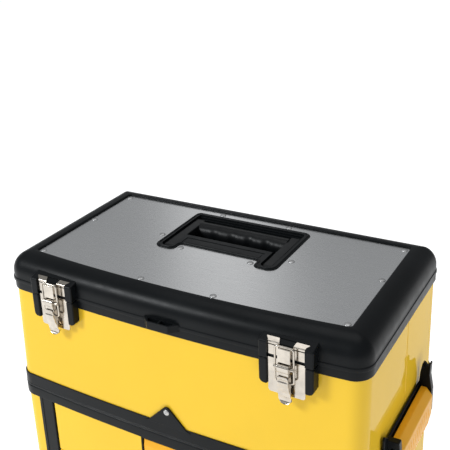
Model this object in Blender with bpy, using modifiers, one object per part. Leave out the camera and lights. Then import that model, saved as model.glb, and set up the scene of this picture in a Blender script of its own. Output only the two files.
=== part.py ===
"""Rolling tool box: a lidded top box, a two-drawer tier and a wheeled tilt-bin tier with a telescopic handle.

Plan sizes are in millimetres, x across, y measured from the back edge of the lid's metal plate (+y to the
back), z up from the floor. The mesh helpers turn them into metres and centre the whole object on the origin.
"""

import math

import bmesh
import bpy
from mathutils import Matrix, Vector

MM = 0.001
DEPTH_SHIFT = 87.2  # from the plate's back edge to the middle of the object's whole depth
GAP = 0.3  # clearance between touching pieces

# Heights of the stack
PLATE_Z = 630.0
LID_SEAM_Z = 600.0
RIM_FOOT_Z = 588.5
BAND_TOP_Z = 459.4
TOP_SEAM_Z = 440.0
WALL_HEAD_Z = 593.0  # the yellow wall's upper edge, inside the rim
MIDDLE_OPEN_TOP_Z = 425.7
MIDDLE_OPEN_FOOT_Z = 268.0
MIDDLE_SEAM_Z = 254.0
BASE_OPEN_TOP_Z = 239.7
PLINTH_TOP_Z = 70.0
PLINTH_FOOT_Z = 12.0
SHEET = 1.0  # folded sheet steel

# Plans: half width, front at the corners, bow of the front, back, front corner radius, back corner radius
LID_PLAN = (248.5, -239.0, 9.9, 28.8, 24.0, 19.0)
PLATE_PLAN = (217.0, -209.5, 10.95, 0.0, 4.0, 4.0)
RIM_PLAN = (247.2, -237.6, 9.7, 27.6, 23.0, 16.0)
BOX_TOP_PLAN = (244.8, -235.5, 9.7, 25.4, 21.0, 14.0)
BOX_FOOT_PLAN = (245.0, -241.2, 8.3, 25.4, 21.0, 14.0)
BAND_PLAN = (247.2, -243.3, 8.3, 27.6, 23.0, 16.0)
TIER_PLAN = BOX_FOOT_PLAN

# Front opening of the two lower tiers
OPENING_HALF = 190.8
POST_HALF = 215.5
POST_DEPTH = 14.0
DOOR_HALF = 189.8
DOOR_THICK = 10.0

# Toggle latches
LATCH_X = 160.6
LATCH_SHEET = 1.2
HOLDER_HALF = 32.4
HOLDER_FRONT = -254.0
HOLDER_FOOT_Z = 563.5
CHANNEL_HALF = 22.3
CHANNEL_FLOOR = -249.8
LATCH_HALF = CHANNEL_HALF - GAP
LATCH_PLATE_FRONT = -251.3
CATCH_FOLD_Z = 617.3
HOOK_FRONT = -258.2
HOOK_HALF = 7.6
LEVER_AXIS = (-257.5, 592.6)
LEVER_HALF = 6.9
BAIL_AXIS = (-256.0, 574.2)
BAIL_HALF = 10.9
WIRE_RADIUS = 1.15

# Finger tab on the lid's lip
TAB_BACK_HALF = 25.0
TAB_FRONT_HALF = 14.5
TAB_FRONT = -257.6
TAB_FOOT_Z = 594.5
TAB_TOP_Z = 604.0
TAB_WALL = 2.0

# Carry handle in the lid
BEZEL_HALF = 88.0
BEZEL_BACK = -13.5
BEZEL_LOBE_FRONT = -130.0
BEZEL_STEP_FRONT = -112.0
LOBE_INNER = 57.0
BEZEL_TOP_Z = 632.4
WELL_FLOOR_Z = 604.0
ARM_INNER = 66.0
ARM_OUTER = 79.0
HANDLE_AXIS = (-114.0, 624.5)
GRIP_Y = -42.0
GRIP_Z = 618.5
GRIP_RADIUS = 12.5
FINGER_PITCH = 26.0
FINGER_RADIUS = 16.0
FINGER_DEPTH = 2.4

# Lid hinge
HINGE_AXIS = (34.5, 600.0)
HINGE_ROD_RADIUS = 2.0
KNUCKLE_RADIUS = 5.0
KNUCKLE_X = 140.0
KNUCKLE_PITCH = 16.0

# Side clips, at the foot of the top box and of the middle tier
CLIP_BACK = -42.0
CLIP_FRONT = -163.0
CLIP_CAP = 9.0
CLIP_AXIS = (256.5, 18.0)  # x, and height above the seam

# Tilt bin's pivot rod
BIN_AXIS = (-231.0, 81.0)

# Telescopic handle
TUBE_X = 100.0
TUBE_Y = 53.5
SLEEVE_SIZE = (26.0, 20.0)
STAGE_STEP = 3.6
SLEEVE_WALL = 1.5

# Wheels and feet
AXLE_AXIS = (38.0, 50.0)
AXLE_RADIUS = 5.0
WHEEL_RADIUS = 50.0
WHEEL_INNER_X = 204.0
WHEEL_OUTER_X = 238.0
WELL_X = 200.0
WELL_FRONT = -18.0
WELL_TOP_Z = 106.0

FRONT_SEGMENTS = 8
CORNER_SEGMENTS = 3


# ---------------------------------------------------------------- scene helpers

for old in list(bpy.data.objects):
    bpy.data.objects.remove(old)

parts = bpy.data.collections.new("rolling_tool_box")
cutters = bpy.data.collections.new("cutters")
bpy.context.scene.collection.children.link(parts)
bpy.context.scene.collection.children.link(cutters)
cutters.hide_render = True


def material(name, colour, roughness, metallic=0.0):
    made = bpy.data.materials.new(name)
    made.use_nodes = True
    shader = made.node_tree.nodes["Principled BSDF"]
    shader.inputs["Base Color"].default_value = (*colour, 1.0)
    shader.inputs["Roughness"].default_value = roughness
    shader.inputs["Metallic"].default_value = metallic
    return made


YELLOW = material("yellow_enamel", (0.93, 0.60, 0.05), 0.3)
BLACK = material("black_plastic", (0.02, 0.022, 0.024), 0.45)
ORANGE = material("orange_plastic", (0.85, 0.36, 0.03), 0.4)
ALUMINIUM = material("brushed_aluminium", (0.5, 0.5, 0.5), 0.38, 1.0)
NICKEL = material("nickel_plate", (0.75, 0.72, 0.68), 0.22, 1.0)
STEEL = material("zinc_steel", (0.55, 0.56, 0.58), 0.35, 1.0)
RUBBER = material("rubber", (0.03, 0.03, 0.03), 0.8)


def world(x, y, z):
    return Vector((x, y + DEPTH_SHIFT, z)) * MM


def body_empty(name, point, parent=None):
    """An empty on a moving body's joint axis, which its pieces are parented to."""
    empty = bpy.data.objects.new(name + "_axis", None)
    empty.empty_display_size = 0.02
    empty["place"] = world(*point)
    empty.location = empty["place"]
    if parent:
        empty.parent = parent
        empty.location -= Vector(parent["place"])
    parts.objects.link(empty)
    return empty


def solid(name, mesh_builder, paint=None, body=None, smooth=False):
    """An object from a bmesh. Without a paint it is a cutter or a piece to be joined on."""
    bmesh.ops.recalc_face_normals(mesh_builder, faces=mesh_builder.faces)
    mesh = bpy.data.meshes.new(name)
    mesh_builder.to_mesh(mesh)
    mesh_builder.free()
    made = bpy.data.objects.new(name, mesh)
    if paint is None:
        cutters.objects.link(made)
        made.hide_render = True
        made.display_type = "WIRE"
        return made
    mesh.materials.append(paint)
    if smooth:
        mesh.shade_smooth()
        mesh.set_sharp_from_angle(angle=math.radians(35))
    parts.objects.link(made)
    if body:
        made.parent = body
        made.location = -Vector(body["place"])
    return made


def boolean(target, operation, *tools):
    for tool in tools:
        step = target.modifiers.new(operation.lower() + "_" + tool.name, "BOOLEAN")
        step.operation = operation
        step.object = tool
        step.solver = "EXACT"


def cut(target, *tools):
    boolean(target, "DIFFERENCE", *tools)


def join(target, *tools):
    boolean(target, "UNION", *tools)


# ---------------------------------------------------------------- mesh helpers


def box(x, y, z):
    """A box from three (low, high) pairs."""
    made = bmesh.new()
    bmesh.ops.create_cube(made, size=1.0)
    low, high = world(x[0], y[0], z[0]), world(x[1], y[1], z[1])
    size = high - low
    place = Matrix.Translation((low + high) / 2) @ Matrix.Diagonal((*size, 1.0))
    bmesh.ops.transform(made, matrix=place, verts=made.verts)
    return made


def rod(axis, centre, radius, length, sides=16, end_radius=None):
    """A cylinder, or a cone, along X, Y or Z."""
    made = bmesh.new()
    end = radius if end_radius is None else end_radius
    bmesh.ops.create_cone(
        made, cap_ends=True, segments=sides, radius1=radius * MM, radius2=end * MM, depth=length * MM
    )
    turn = {"X": ("Y", 90), "Y": ("X", -90), "Z": ("Z", 0)}[axis]
    spin = Matrix.Rotation(math.radians(turn[1]), 4, turn[0])
    bmesh.ops.transform(made, matrix=Matrix.Translation(world(*centre)) @ spin, verts=made.verts)
    return made


def loft(rings, closed=False):
    """A skin through rings of equal point counts, capped at both ends, or closed back on its first ring."""
    made = bmesh.new()
    rows = [[made.verts.new(world(*point)) for point in ring] for ring in rings]
    pairs = list(zip(rows, rows[1:]))
    if closed:
        pairs.append((rows[-1], rows[0]))
    for low, high in pairs:
        for i in range(len(low)):
            j = (i + 1) % len(low)
            made.faces.new((low[i], low[j], high[j], high[i]))
    if not closed:
        made.faces.new(rows[0])
        made.faces.new(rows[-1])
    return made


def prism(profile, axis, low, high):
    """A flat outline carried along an axis. The profile is (y, z) for X, (x, z) for Y and (x, y) for Z."""
    place = {
        "X": lambda a, b, t: (t, a, b),
        "Y": lambda a, b, t: (a, t, b),
        "Z": lambda a, b, t: (a, b, t),
    }[axis]
    return loft([[place(a, b, t) for a, b in profile] for t in (low, high)])


def front_line(plan, x):
    half, front, bow = plan[:3]
    return front - bow * (1.0 - (x / half) ** 2)


def inset(plan, distance):
    half, front, bow, back, front_radius, back_radius = plan
    radii = (max(radius - distance, 1.0) for radius in (front_radius, back_radius))
    return (half - distance, front + distance, bow, back - distance, *radii)


def outline(plan):
    """The bowed plan as points, going round from the front's left end."""
    half, _, _, back, front_radius, back_radius = plan
    reach, back_reach = half - front_radius, half - back_radius
    points = []
    for i in range(FRONT_SEGMENTS + 1):
        x = -reach + 2 * reach * i / FRONT_SEGMENTS
        points.append((x, front_line(plan, x)))
    front_y = front_line(plan, reach) + front_radius
    corners = (
        (reach, front_y, front_radius, -90),
        (back_reach, back - back_radius, back_radius, 0),
        (-back_reach, back - back_radius, back_radius, 90),
        (-reach, front_y, front_radius, 180),
    )
    for n, (x, y, radius, start) in enumerate(corners):
        first = 1 if n == 0 else 0
        last = CORNER_SEGMENTS if n == 3 else CORNER_SEGMENTS + 1
        for i in range(first, last):
            angle = math.radians(start + 90 * i / CORNER_SEGMENTS)
            points.append((x + radius * math.cos(angle), y + radius * math.sin(angle)))
    return points


def level(plan, z):
    return [(x, y, z) for x, y in outline(plan)]


def sweep(plan, profile):
    """A closed ring round a plan: the profile is (inset, z) points."""
    return loft([level(inset(plan, d), z) for d, z in profile], closed=True)


def rounded(profile, radii, segments=3):
    """The outline with each corner rounded by its radius."""
    points = []
    count = len(profile)
    for i, radius in enumerate(radii):
        here = Vector(profile[i])
        before = Vector(profile[i - 1]) - here
        after = Vector(profile[(i + 1) % count]) - here
        if radius <= 0:
            points.append(tuple(here))
            continue
        half = before.angle(after) / 2
        reach = radius / math.tan(half)
        start = here + before.normalized() * reach
        end = here + after.normalized() * reach
        centre = here + (before.normalized() + after.normalized()).normalized() * (radius / math.sin(half))
        a, b = start - centre, end - centre
        turn = a.angle_signed(b)
        for step in range(segments + 1):
            spin = Matrix.Rotation(-turn * step / segments, 2)
            points.append(tuple(centre + spin @ a))
    return points


def bowed_slab(plan, half, thick, z, setback=0.0):
    """A panel that follows the bowed front, from setback to thick mm behind it."""
    steps = FRONT_SEGMENTS
    xs = [-half + 2 * half * i / steps for i in range(steps + 1)]
    front = [(x, front_line(plan, x) + setback) for x in xs]
    back = [(x, front_line(plan, x) + thick) for x in reversed(xs)]
    return prism(front + back, "Z", *z)


# ---------------------------------------------------------------- bodies and their joint axes

root = body_empty("base_tier", (0, 0, 0))
middle = body_empty("middle_tier", (0, 0, MIDDLE_SEAM_Z), root)
top = body_empty("top_box", (0, 0, TOP_SEAM_Z), middle)
lid = body_empty("lid", (0, *HINGE_AXIS), top)


# ---------------------------------------------------------------- top box


def top_box():
    floor_z = TOP_SEAM_Z + 2.4
    shell = solid(
        "top_box_shell",
        loft([level(BOX_FOOT_PLAN, floor_z), level(BOX_FOOT_PLAN, BAND_TOP_Z),
              level(BOX_TOP_PLAN, WALL_HEAD_Z)]),
        YELLOW, top,
    )
    inner = [
        level(inset(BOX_FOOT_PLAN, SHEET), floor_z + SHEET),
        level(inset(BOX_FOOT_PLAN, SHEET), BAND_TOP_Z),
        level(inset(BOX_TOP_PLAN, SHEET), WALL_HEAD_Z + 1.0),
    ]
    cut(shell, solid("top_box_hollow", loft(inner)))

    rim = solid(
        "top_box_rim",
        sweep(RIM_PLAN, [
            (0.4, RIM_FOOT_Z), (0.0, RIM_FOOT_Z + 1), (0.0, 598.6), (0.8, LID_SEAM_Z - GAP),
            (9.0, LID_SEAM_Z - GAP), (9.0, 593.6), (1.6, 593.6), (1.6, RIM_FOOT_Z),
        ]),
        BLACK, top, smooth=True,
    )
    for side in (-1, 1):
        add_latch_holder(rim, side)
        add_knuckles(rim, side, "rim", 26.4, (588.8, 598.5), (-KNUCKLE_PITCH, KNUCKLE_PITCH), 12.0)

    band = solid(
        "top_box_band",
        sweep(BAND_PLAN, [
            (0.0, TOP_SEAM_Z + GAP), (0.0, BAND_TOP_Z - 0.8), (0.8, BAND_TOP_Z), (1.9, BAND_TOP_Z),
            (1.9, TOP_SEAM_Z + 2.1), (16.0, TOP_SEAM_Z + 2.1), (16.0, TOP_SEAM_Z + GAP),
        ]),
        BLACK, top, smooth=True,
    )
    front = front_line(BAND_PLAN, 0.0)
    tab = rounded([(-30.0, 456.0), (30.0, 456.0), (0.0, 486.5)], (0.0, 0.0, 5.0))
    join(band, solid("tab_plate", prism(tab, "Y", front - 0.2, front + 1.5)))
    rivet = rod("Y", (0, front - 1.3, 477.0), 1.6, 1.6, 12, end_radius=3.6)
    solid("band_rivet", rivet, NICKEL, top, smooth=True)


def add_latch_holder(rim, side):
    """The black block on the rim that the latch's lower plate sits in."""
    x = side * LATCH_X
    wide = (x - HOLDER_HALF, x + HOLDER_HALF)
    head_z = LID_SEAM_Z - GAP
    face = rounded([(wide[0], HOLDER_FOOT_Z), (wide[1], HOLDER_FOOT_Z), (wide[1], head_z), (wide[0], head_z)],
                   (6.0, 6.0, 0.0, 0.0))
    name = f"latch_seat_{'r' if side > 0 else 'l'}"
    low, high = holder_plan(wide, BOX_TOP_PLAN, -1.8), holder_plan(wide, RIM_PLAN, 0.9)
    seat = solid(name, prism(low, "Z", HOLDER_FOOT_Z - 6, RIM_FOOT_Z + 2.5))
    head = solid(name + "_head", prism(high, "Z", RIM_FOOT_Z + 0.5, head_z + 4))
    join(seat, head)
    boolean(seat, "INTERSECT", solid(name + "_face", prism(face, "Y", HOLDER_FRONT - 8, -230.0)))
    join(rim, seat)
    channel = (x - CHANNEL_HALF, x + CHANNEL_HALF)
    channel = box(channel, (HOLDER_FRONT - 8, CHANNEL_FLOOR), (HOLDER_FOOT_Z - 6, head_z + 10))
    cut(rim, solid(name + "_channel", channel))


def holder_plan(wide, plan, offset):
    """A latch holder seen from above: flat in front, and following the bowed wall behind."""
    xs = [wide[0] + (wide[1] - wide[0]) * i / 4 for i in range(5)]
    back = [(x, front_line(plan, x) + offset) for x in reversed(xs)]
    return [(wide[0], HOLDER_FRONT), (wide[1], HOLDER_FRONT)] + back


def add_knuckles(target, side, name, web_y, web_z, offsets, length):
    """Hinge knuckles on the rod's axis, with the web that ties each to its moulding."""
    for n, offset in enumerate(offsets):
        middle_x = side * KNUCKLE_X + offset
        web_x = (middle_x - length / 2 + 0.4, middle_x + length / 2 - 0.4)
        tag = f"{name}_knuckle_{'r' if side > 0 else 'l'}{n}"
        join(
            target,
            solid(tag, rod("X", (middle_x, *HINGE_AXIS), KNUCKLE_RADIUS, length)),
            solid(tag + "_web", box(web_x, (web_y, HINGE_AXIS[0]), web_z)),
        )
        bore = rod("X", (middle_x, *HINGE_AXIS), HINGE_ROD_RADIUS + 0.4, length + 2)
        cut(target, solid(tag + "_bore", bore))


# ---------------------------------------------------------------- lid


def bezel_outline(grow):
    """The stepped frame round the carry handle, grown by a distance."""
    side, back = BEZEL_HALF + grow, BEZEL_BACK + grow
    lobe, step = BEZEL_LOBE_FRONT - grow, BEZEL_STEP_FRONT - grow
    inner = LOBE_INNER - grow
    points = [(side, back), (-side, back), (-side, lobe), (-inner, lobe), (-inner, step), (inner, step),
              (inner, lobe), (side, lobe)]
    radii = (9.0, 9.0, 12.0, 9.0, 4.0, 4.0, 9.0, 12.0)
    return rounded(points, radii)


def lid_pieces():
    roll_width, roll_height, roll_z = 24.9, 24.6, 608.0
    rings = [level(inset(LID_PLAN, d), z) for d, z in (
        (0.8, LID_SEAM_Z + GAP), (0.0, 601.2), (0.0, 604.6), (0.9, 605.3), (1.1, roll_z))]
    for degrees in (20, 45, 70, 90):
        angle = math.radians(degrees)
        d = 1.1 + roll_width * (1 - math.cos(angle))
        rings.append(level(inset(LID_PLAN, d), roll_z + roll_height * math.sin(angle)))
    pocket = inset(PLATE_PLAN, -0.4)
    rings += [level(pocket, roll_z + roll_height), level(pocket, PLATE_Z - SHEET - GAP)]
    shell = solid("lid_shell", loft(rings), BLACK, lid, smooth=True)

    hollow = [level(inset(LID_PLAN, d), z) for d, z in (
        (3.6, 598.0), (3.6, 609.0), (7.0, 617.0), (14.0, 622.5), (24.0, 625.6))]
    cut(shell, solid("lid_hollow", loft(hollow)))

    well = box((-85.5, 85.5), (-89.0, -15.0), (WELL_FLOOR_Z - 2.5, 627.0))
    channel_block = box((-85.5, 85.5), (-128.5, -85.0), (615.0, 627.5))
    bezel = prism(bezel_outline(0.0), "Z", 624.0, BEZEL_TOP_Z)
    join(shell, solid("well_block", well), solid("channel_block", channel_block), solid("bezel_block", bezel))
    cut(
        shell,
        solid("well_cut", box((-81.0, 81.0), (-85.5, -20.0), (WELL_FLOOR_Z, 640.0))),
        solid("channel_cut_l", prism(channel_shape(-1), "Z", 618.0, 640.0)),
        solid("channel_cut_r", prism(channel_shape(1), "Z", 618.0, 640.0)),
        solid("handle_bores", rod("X", (0, *HANDLE_AXIS), 3.4, 2 * 84.0)),
        solid("platform_groove", box((-55.0, 55.0), (-107.0, -93.0), (629.6, 640.0))),
    )
    for side in (-1, 1):
        add_catch_holder(shell, side)
        add_knuckles(shell, side, "lid", 25.5, (601.5, 606.0), (0.0,), 19.0)
        for offset in (-KNUCKLE_PITCH, KNUCKLE_PITCH):
            x = side * KNUCKLE_X + offset
            relief = box((x - 6.5, x + 6.5), (27.5, 45.0), (590.0, 606.2))
            cut(shell, solid(f"lid_relief_{side}_{offset:.0f}", relief))

    add_finger_tab(shell)

    sheet = loft([level(PLATE_PLAN, PLATE_Z - SHEET), level(PLATE_PLAN, PLATE_Z)])
    plate = solid("lid_plate", sheet, ALUMINIUM, lid)
    cut(plate, solid("bezel_hole", prism(bezel_outline(GAP), "Z", 620.0, 640.0)))
    for n, (x, y) in enumerate(rivet_places()):
        join(plate, solid(f"rivet_{n}", rod("Z", (x, y, PLATE_Z + 0.5), 4.2, 2.0, 8, end_radius=2.4)))

    hinge_rod = rod("X", (0, *HINGE_AXIS), HINGE_ROD_RADIUS, 2 * (KNUCKLE_X + 24.0), 12)
    solid("lid_hinge_rod", hinge_rod, STEEL, top, smooth=True)


def add_finger_tab(shell):
    """The tab that the lid is lifted by: a tapered shelf on the lip, open on top with two pockets."""
    wall_y = front_line(RIM_PLAN, 0.0) - 2 * GAP
    shelf = [(-TAB_BACK_HALF, wall_y), (-TAB_FRONT_HALF, TAB_FRONT), (TAB_FRONT_HALF, TAB_FRONT),
             (TAB_BACK_HALF, wall_y)]
    shelf = rounded(shelf, (0.0, 2.0, 2.0, 0.0), segments=2)
    lip_half = TAB_BACK_HALF - 1.5
    lip = box((-lip_half, lip_half), (wall_y - 1.2, wall_y + 3.0), (600.9, TAB_TOP_Z - 0.5))
    join(shell, solid("finger_tab", prism(shelf, "Z", TAB_FOOT_Z, TAB_TOP_Z)), solid("finger_tab_root", lip))
    near, far = TAB_FRONT + TAB_WALL, wall_y - TAB_WALL
    for side in (-1, 1):
        pocket = [(side * 1.2, near), (side * (TAB_FRONT_HALF - 1.0), near),
                  (side * (TAB_BACK_HALF - 7.0), far), (side * 1.2, far)]
        floor_z = TAB_FOOT_Z + TAB_WALL
        cut(shell, solid(f"finger_pocket_{side}", prism(pocket, "Z", floor_z, TAB_TOP_Z + 4.0)))


def channel_shape(side):
    """The slot for one handle arm, round at the pivot end."""
    inner, outer = ARM_INNER - 1.5, ARM_OUTER + 1.5
    points = [(inner, -80.0), (inner, -124.0), (outer, -124.0), (outer, -80.0)]
    shape = rounded(points, (0.0, 7.0, 7.0, 0.0))
    return [(side * x, y) for x, y in shape]


def rivet_places():
    """The blind rivets round the plate and round the handle frame."""
    right = [(211.0, -8.0), (211.5, -94.6), (211.0, -204.0), (50.5, -213.0), (95.5, -96.0), (51.0, -121.0),
             (51.0, -7.0)]
    return [(sign * x, y) for sign in (-1, 1) for x, y in right]


def add_catch_holder(shell, side):
    """The flat-topped block on the lid's roll that frames the latch's catch plate."""
    x = side * LATCH_X
    name = f"catch_seat_{'r' if side > 0 else 'l'}"
    foot_z = LID_SEAM_Z + GAP
    profile = rounded([(HOLDER_FRONT, foot_z), (HOLDER_FRONT, 618.0), (-234.5, 622.4), (-237.5, 617.0),
                       (-240.3, 609.0), (-241.5, foot_z)], (0.0, 2.5, 0.0, 0.0, 0.0, 0.0))
    join(shell, solid(name, prism(profile, "X", x - HOLDER_HALF, x + HOLDER_HALF)))
    notch = [(-262.0, 596.0), (-262.0, 626.0), (-244.6, 626.0), (-244.6, 619.0), (CHANNEL_FLOOR, 616.3),
             (CHANNEL_FLOOR, 596.0)]
    notch = solid(name + "_channel", prism(notch, "X", x - HOLDER_HALF, x + HOLDER_HALF))
    boolean(notch, "INTERSECT", solid(name + "_flare", prism(catch_flare(x, GAP), "Z", 590.0, 630.0)))
    cut(shell, notch)


def catch_flare(x, grow):
    """The catch plate seen from above: straight in front, and its two tabs spreading behind the fold."""
    half, flared = LATCH_HALF + grow, LATCH_HALF + 3.3 + grow
    fold_y, back_y = LATCH_PLATE_FRONT + LATCH_SHEET, -244.8
    right = [(half, -262.0), (half, fold_y + grow), (flared, back_y + grow)]
    return [(x + px, py) for px, py in right] + [(x - px, py) for px, py in reversed(right)]


def carry_handle():
    body = body_empty("carry_handle", (0, *HANDLE_AXIS), lid)
    bar = rod("X", (0, GRIP_Y, GRIP_Z), GRIP_RADIUS, 2 * ARM_OUTER, 16)
    grip = solid("carry_handle", bar, BLACK, body, smooth=True)
    for side in (-1, 1):
        tag = "r" if side > 0 else "l"
        y, z = HANDLE_AXIS
        arm = rounded([(GRIP_Y + 3, 620.0), (GRIP_Y + 3, 629.6), (y - 5.5, 629.6), (y - 5.5, 619.4)],
                      (0.0, 0.0, 4.5, 4.5))
        x = sorted((side * ARM_INNER, side * (ARM_OUTER - 0.2)))
        pin = rod("X", (side * (ARM_OUTER - 2), y, z), 3.0, 8.6, 12)
        join(grip, solid(f"arm_{tag}", prism(arm, "X", *x)), solid(f"arm_pin_{tag}", pin))
    valley_y = GRIP_Y - GRIP_RADIUS - FINGER_RADIUS + FINGER_DEPTH
    for step in (-1.5, -0.5, 0.5, 1.5):
        scallop = rod("Z", (step * FINGER_PITCH, valley_y, GRIP_Z), FINGER_RADIUS, 34.0, 16)
        cut(grip, solid(f"finger_valley_{step}", scallop))


# ---------------------------------------------------------------- toggle latches


def toggle_latch(side):
    tag = "r" if side > 0 else "l"
    x = side * LATCH_X
    front, back = LATCH_PLATE_FRONT, LATCH_PLATE_FRONT + LATCH_SHEET

    bend = [(front, 601.5), (front, CATCH_FOLD_Z), (-245.5, 620.3), (-244.95, 619.2),
            (back, CATCH_FOLD_Z - 0.7), (back, 601.5)]
    catch = solid(f"latch_catch_{tag}", prism(bend, "X", x - HOLDER_HALF, x + HOLDER_HALF), NICKEL, lid)
    flare = solid(f"catch_flare_{tag}", prism(catch_flare(x, 0.0), "Z", 590.0, 630.0))
    boolean(catch, "INTERSECT", flare)
    parting = [(x - 8.0, -252.0), (x + 8.0, -252.0), (x + 10.0, -244.0), (x - 10.0, -244.0)]
    cut(catch, solid(f"catch_notch_{tag}", prism(parting, "Z", CATCH_FOLD_Z - 1.3, 630.0)))
    inner = HOOK_FRONT + LATCH_SHEET
    hook = rounded([(back - 0.2, 615.9), (HOOK_FRONT, 615.9), (HOOK_FRONT, 598.1), (inner, 598.1),
                    (inner, 614.2), (back - 0.2, 614.2)], (0.0, 1.5, 0.0, 0.0, 0.5, 0.0))
    join(catch, solid(f"catch_hook_{tag}", prism(hook, "X", x - HOOK_HALF, x + HOOK_HALF)))

    low, high, left, right = 554.0, 597.8, x - LATCH_HALF, x + LATCH_HALF
    face = rounded([(left, low), (right, low), (right, high), (left, high)], (3.5, 3.5, 0.0, 0.0))
    plate = solid(f"latch_base_{tag}", prism(face, "Y", front, back), NICKEL, top)
    ear = rounded([(back - 0.4, 585.0), (-260.6, 589.0), (-260.6, 596.2), (back - 0.4, 597.5)],
                  (0.0, 3.0, 3.0, 0.0))
    for n, ear_x in enumerate((-LEVER_HALF - 1.0, LEVER_HALF + 1.0)):
        join(plate, solid(f"latch_ear_{tag}{n}", prism(ear, "X", x + ear_x - 0.5, x + ear_x + 0.5)))
    cut(plate, solid(f"ear_bore_{tag}", rod("X", (x, *LEVER_AXIS), 1.9, 24.0, 12)))

    lever_body = body_empty(f"latch_lever_{tag}", (x, *LEVER_AXIS), top)
    y, z = LEVER_AXIS
    reach = 4.85
    knuckle = rounded([(y - reach, z - reach), (y + reach, z - reach), (y + reach, z + reach),
                       (y - reach, z + reach)], (3.5, 3.5, 3.5, 3.5))
    neck = [(-260.4, 589.5), (-260.4, 586.2), (-262.4, 583.6), (-262.2, 577.0), (-260.4, 569.0),
            (-253.4, 568.0), (-253.4, 581.0), (-254.8, 589.5)]
    tongue = [(-260.8, 571.0), (-260.4, 569.0), (-258.0, 560.0), (-256.2, 552.0), (-257.6, 546.6),
              (-256.4, 546.2), (-254.6, 552.0), (-254.0, 560.0), (-253.4, 571.0)]
    barrel = prism(knuckle, "X", x - LEVER_HALF, x + LEVER_HALF)
    lever = solid(f"latch_lever_{tag}", barrel, NICKEL, lever_body)
    join(
        lever,
        solid(f"lever_neck_{tag}", prism(neck, "X", x - LEVER_HALF, x + LEVER_HALF)),
        solid(f"lever_tongue_{tag}", prism(tongue, "X", x - LEVER_HALF - 0.6, x + LEVER_HALF + 0.6)),
        solid(f"lever_pin_{tag}", rod("X", (x, *LEVER_AXIS), 1.5, 17.4, 12)),
    )
    cut(lever, solid(f"bail_bore_{tag}", rod("X", (x, *BAIL_AXIS), WIRE_RADIUS + 0.4, 20.0, 12)))

    bail_body = body_empty(f"latch_bail_{tag}", (x, *BAIL_AXIS), lever_body)
    bail_wire(tag, x, bail_body)


def bail_wire(tag, x, body):
    """The wire loop, from one lever bore up over the hook and down to the other bore."""
    leg, top_y, top_z = BAIL_HALF, -256.4, 617.4
    y, z = BAIL_AXIS
    route = [(x - 3.4, y, z), (x - leg + 1.8, y, z), (x - leg, y, z + 1.8), (x - leg, top_y, top_z - 2.6),
             (x - leg + 0.8, top_y, top_z - 0.8), (x - leg + 2.6, top_y, top_z)]
    route += [(2 * x - px, py, pz) for px, py, pz in reversed(route)]
    curve = bpy.data.curves.new(f"latch_bail_{tag}", "CURVE")
    curve.dimensions = "3D"
    curve.bevel_depth = WIRE_RADIUS * MM
    curve.bevel_resolution = 2
    curve.use_fill_caps = True
    curve.materials.append(NICKEL)
    spline = curve.splines.new("POLY")
    spline.points.add(len(route) - 1)
    for point, place in zip(spline.points, route):
        point.co = (*world(*place), 1.0)
    made = bpy.data.objects.new(f"latch_bail_{tag}", curve)
    parts.objects.link(made)
    made.parent = body
    made.location = -Vector(body["place"])


# ---------------------------------------------------------------- side clips


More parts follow.
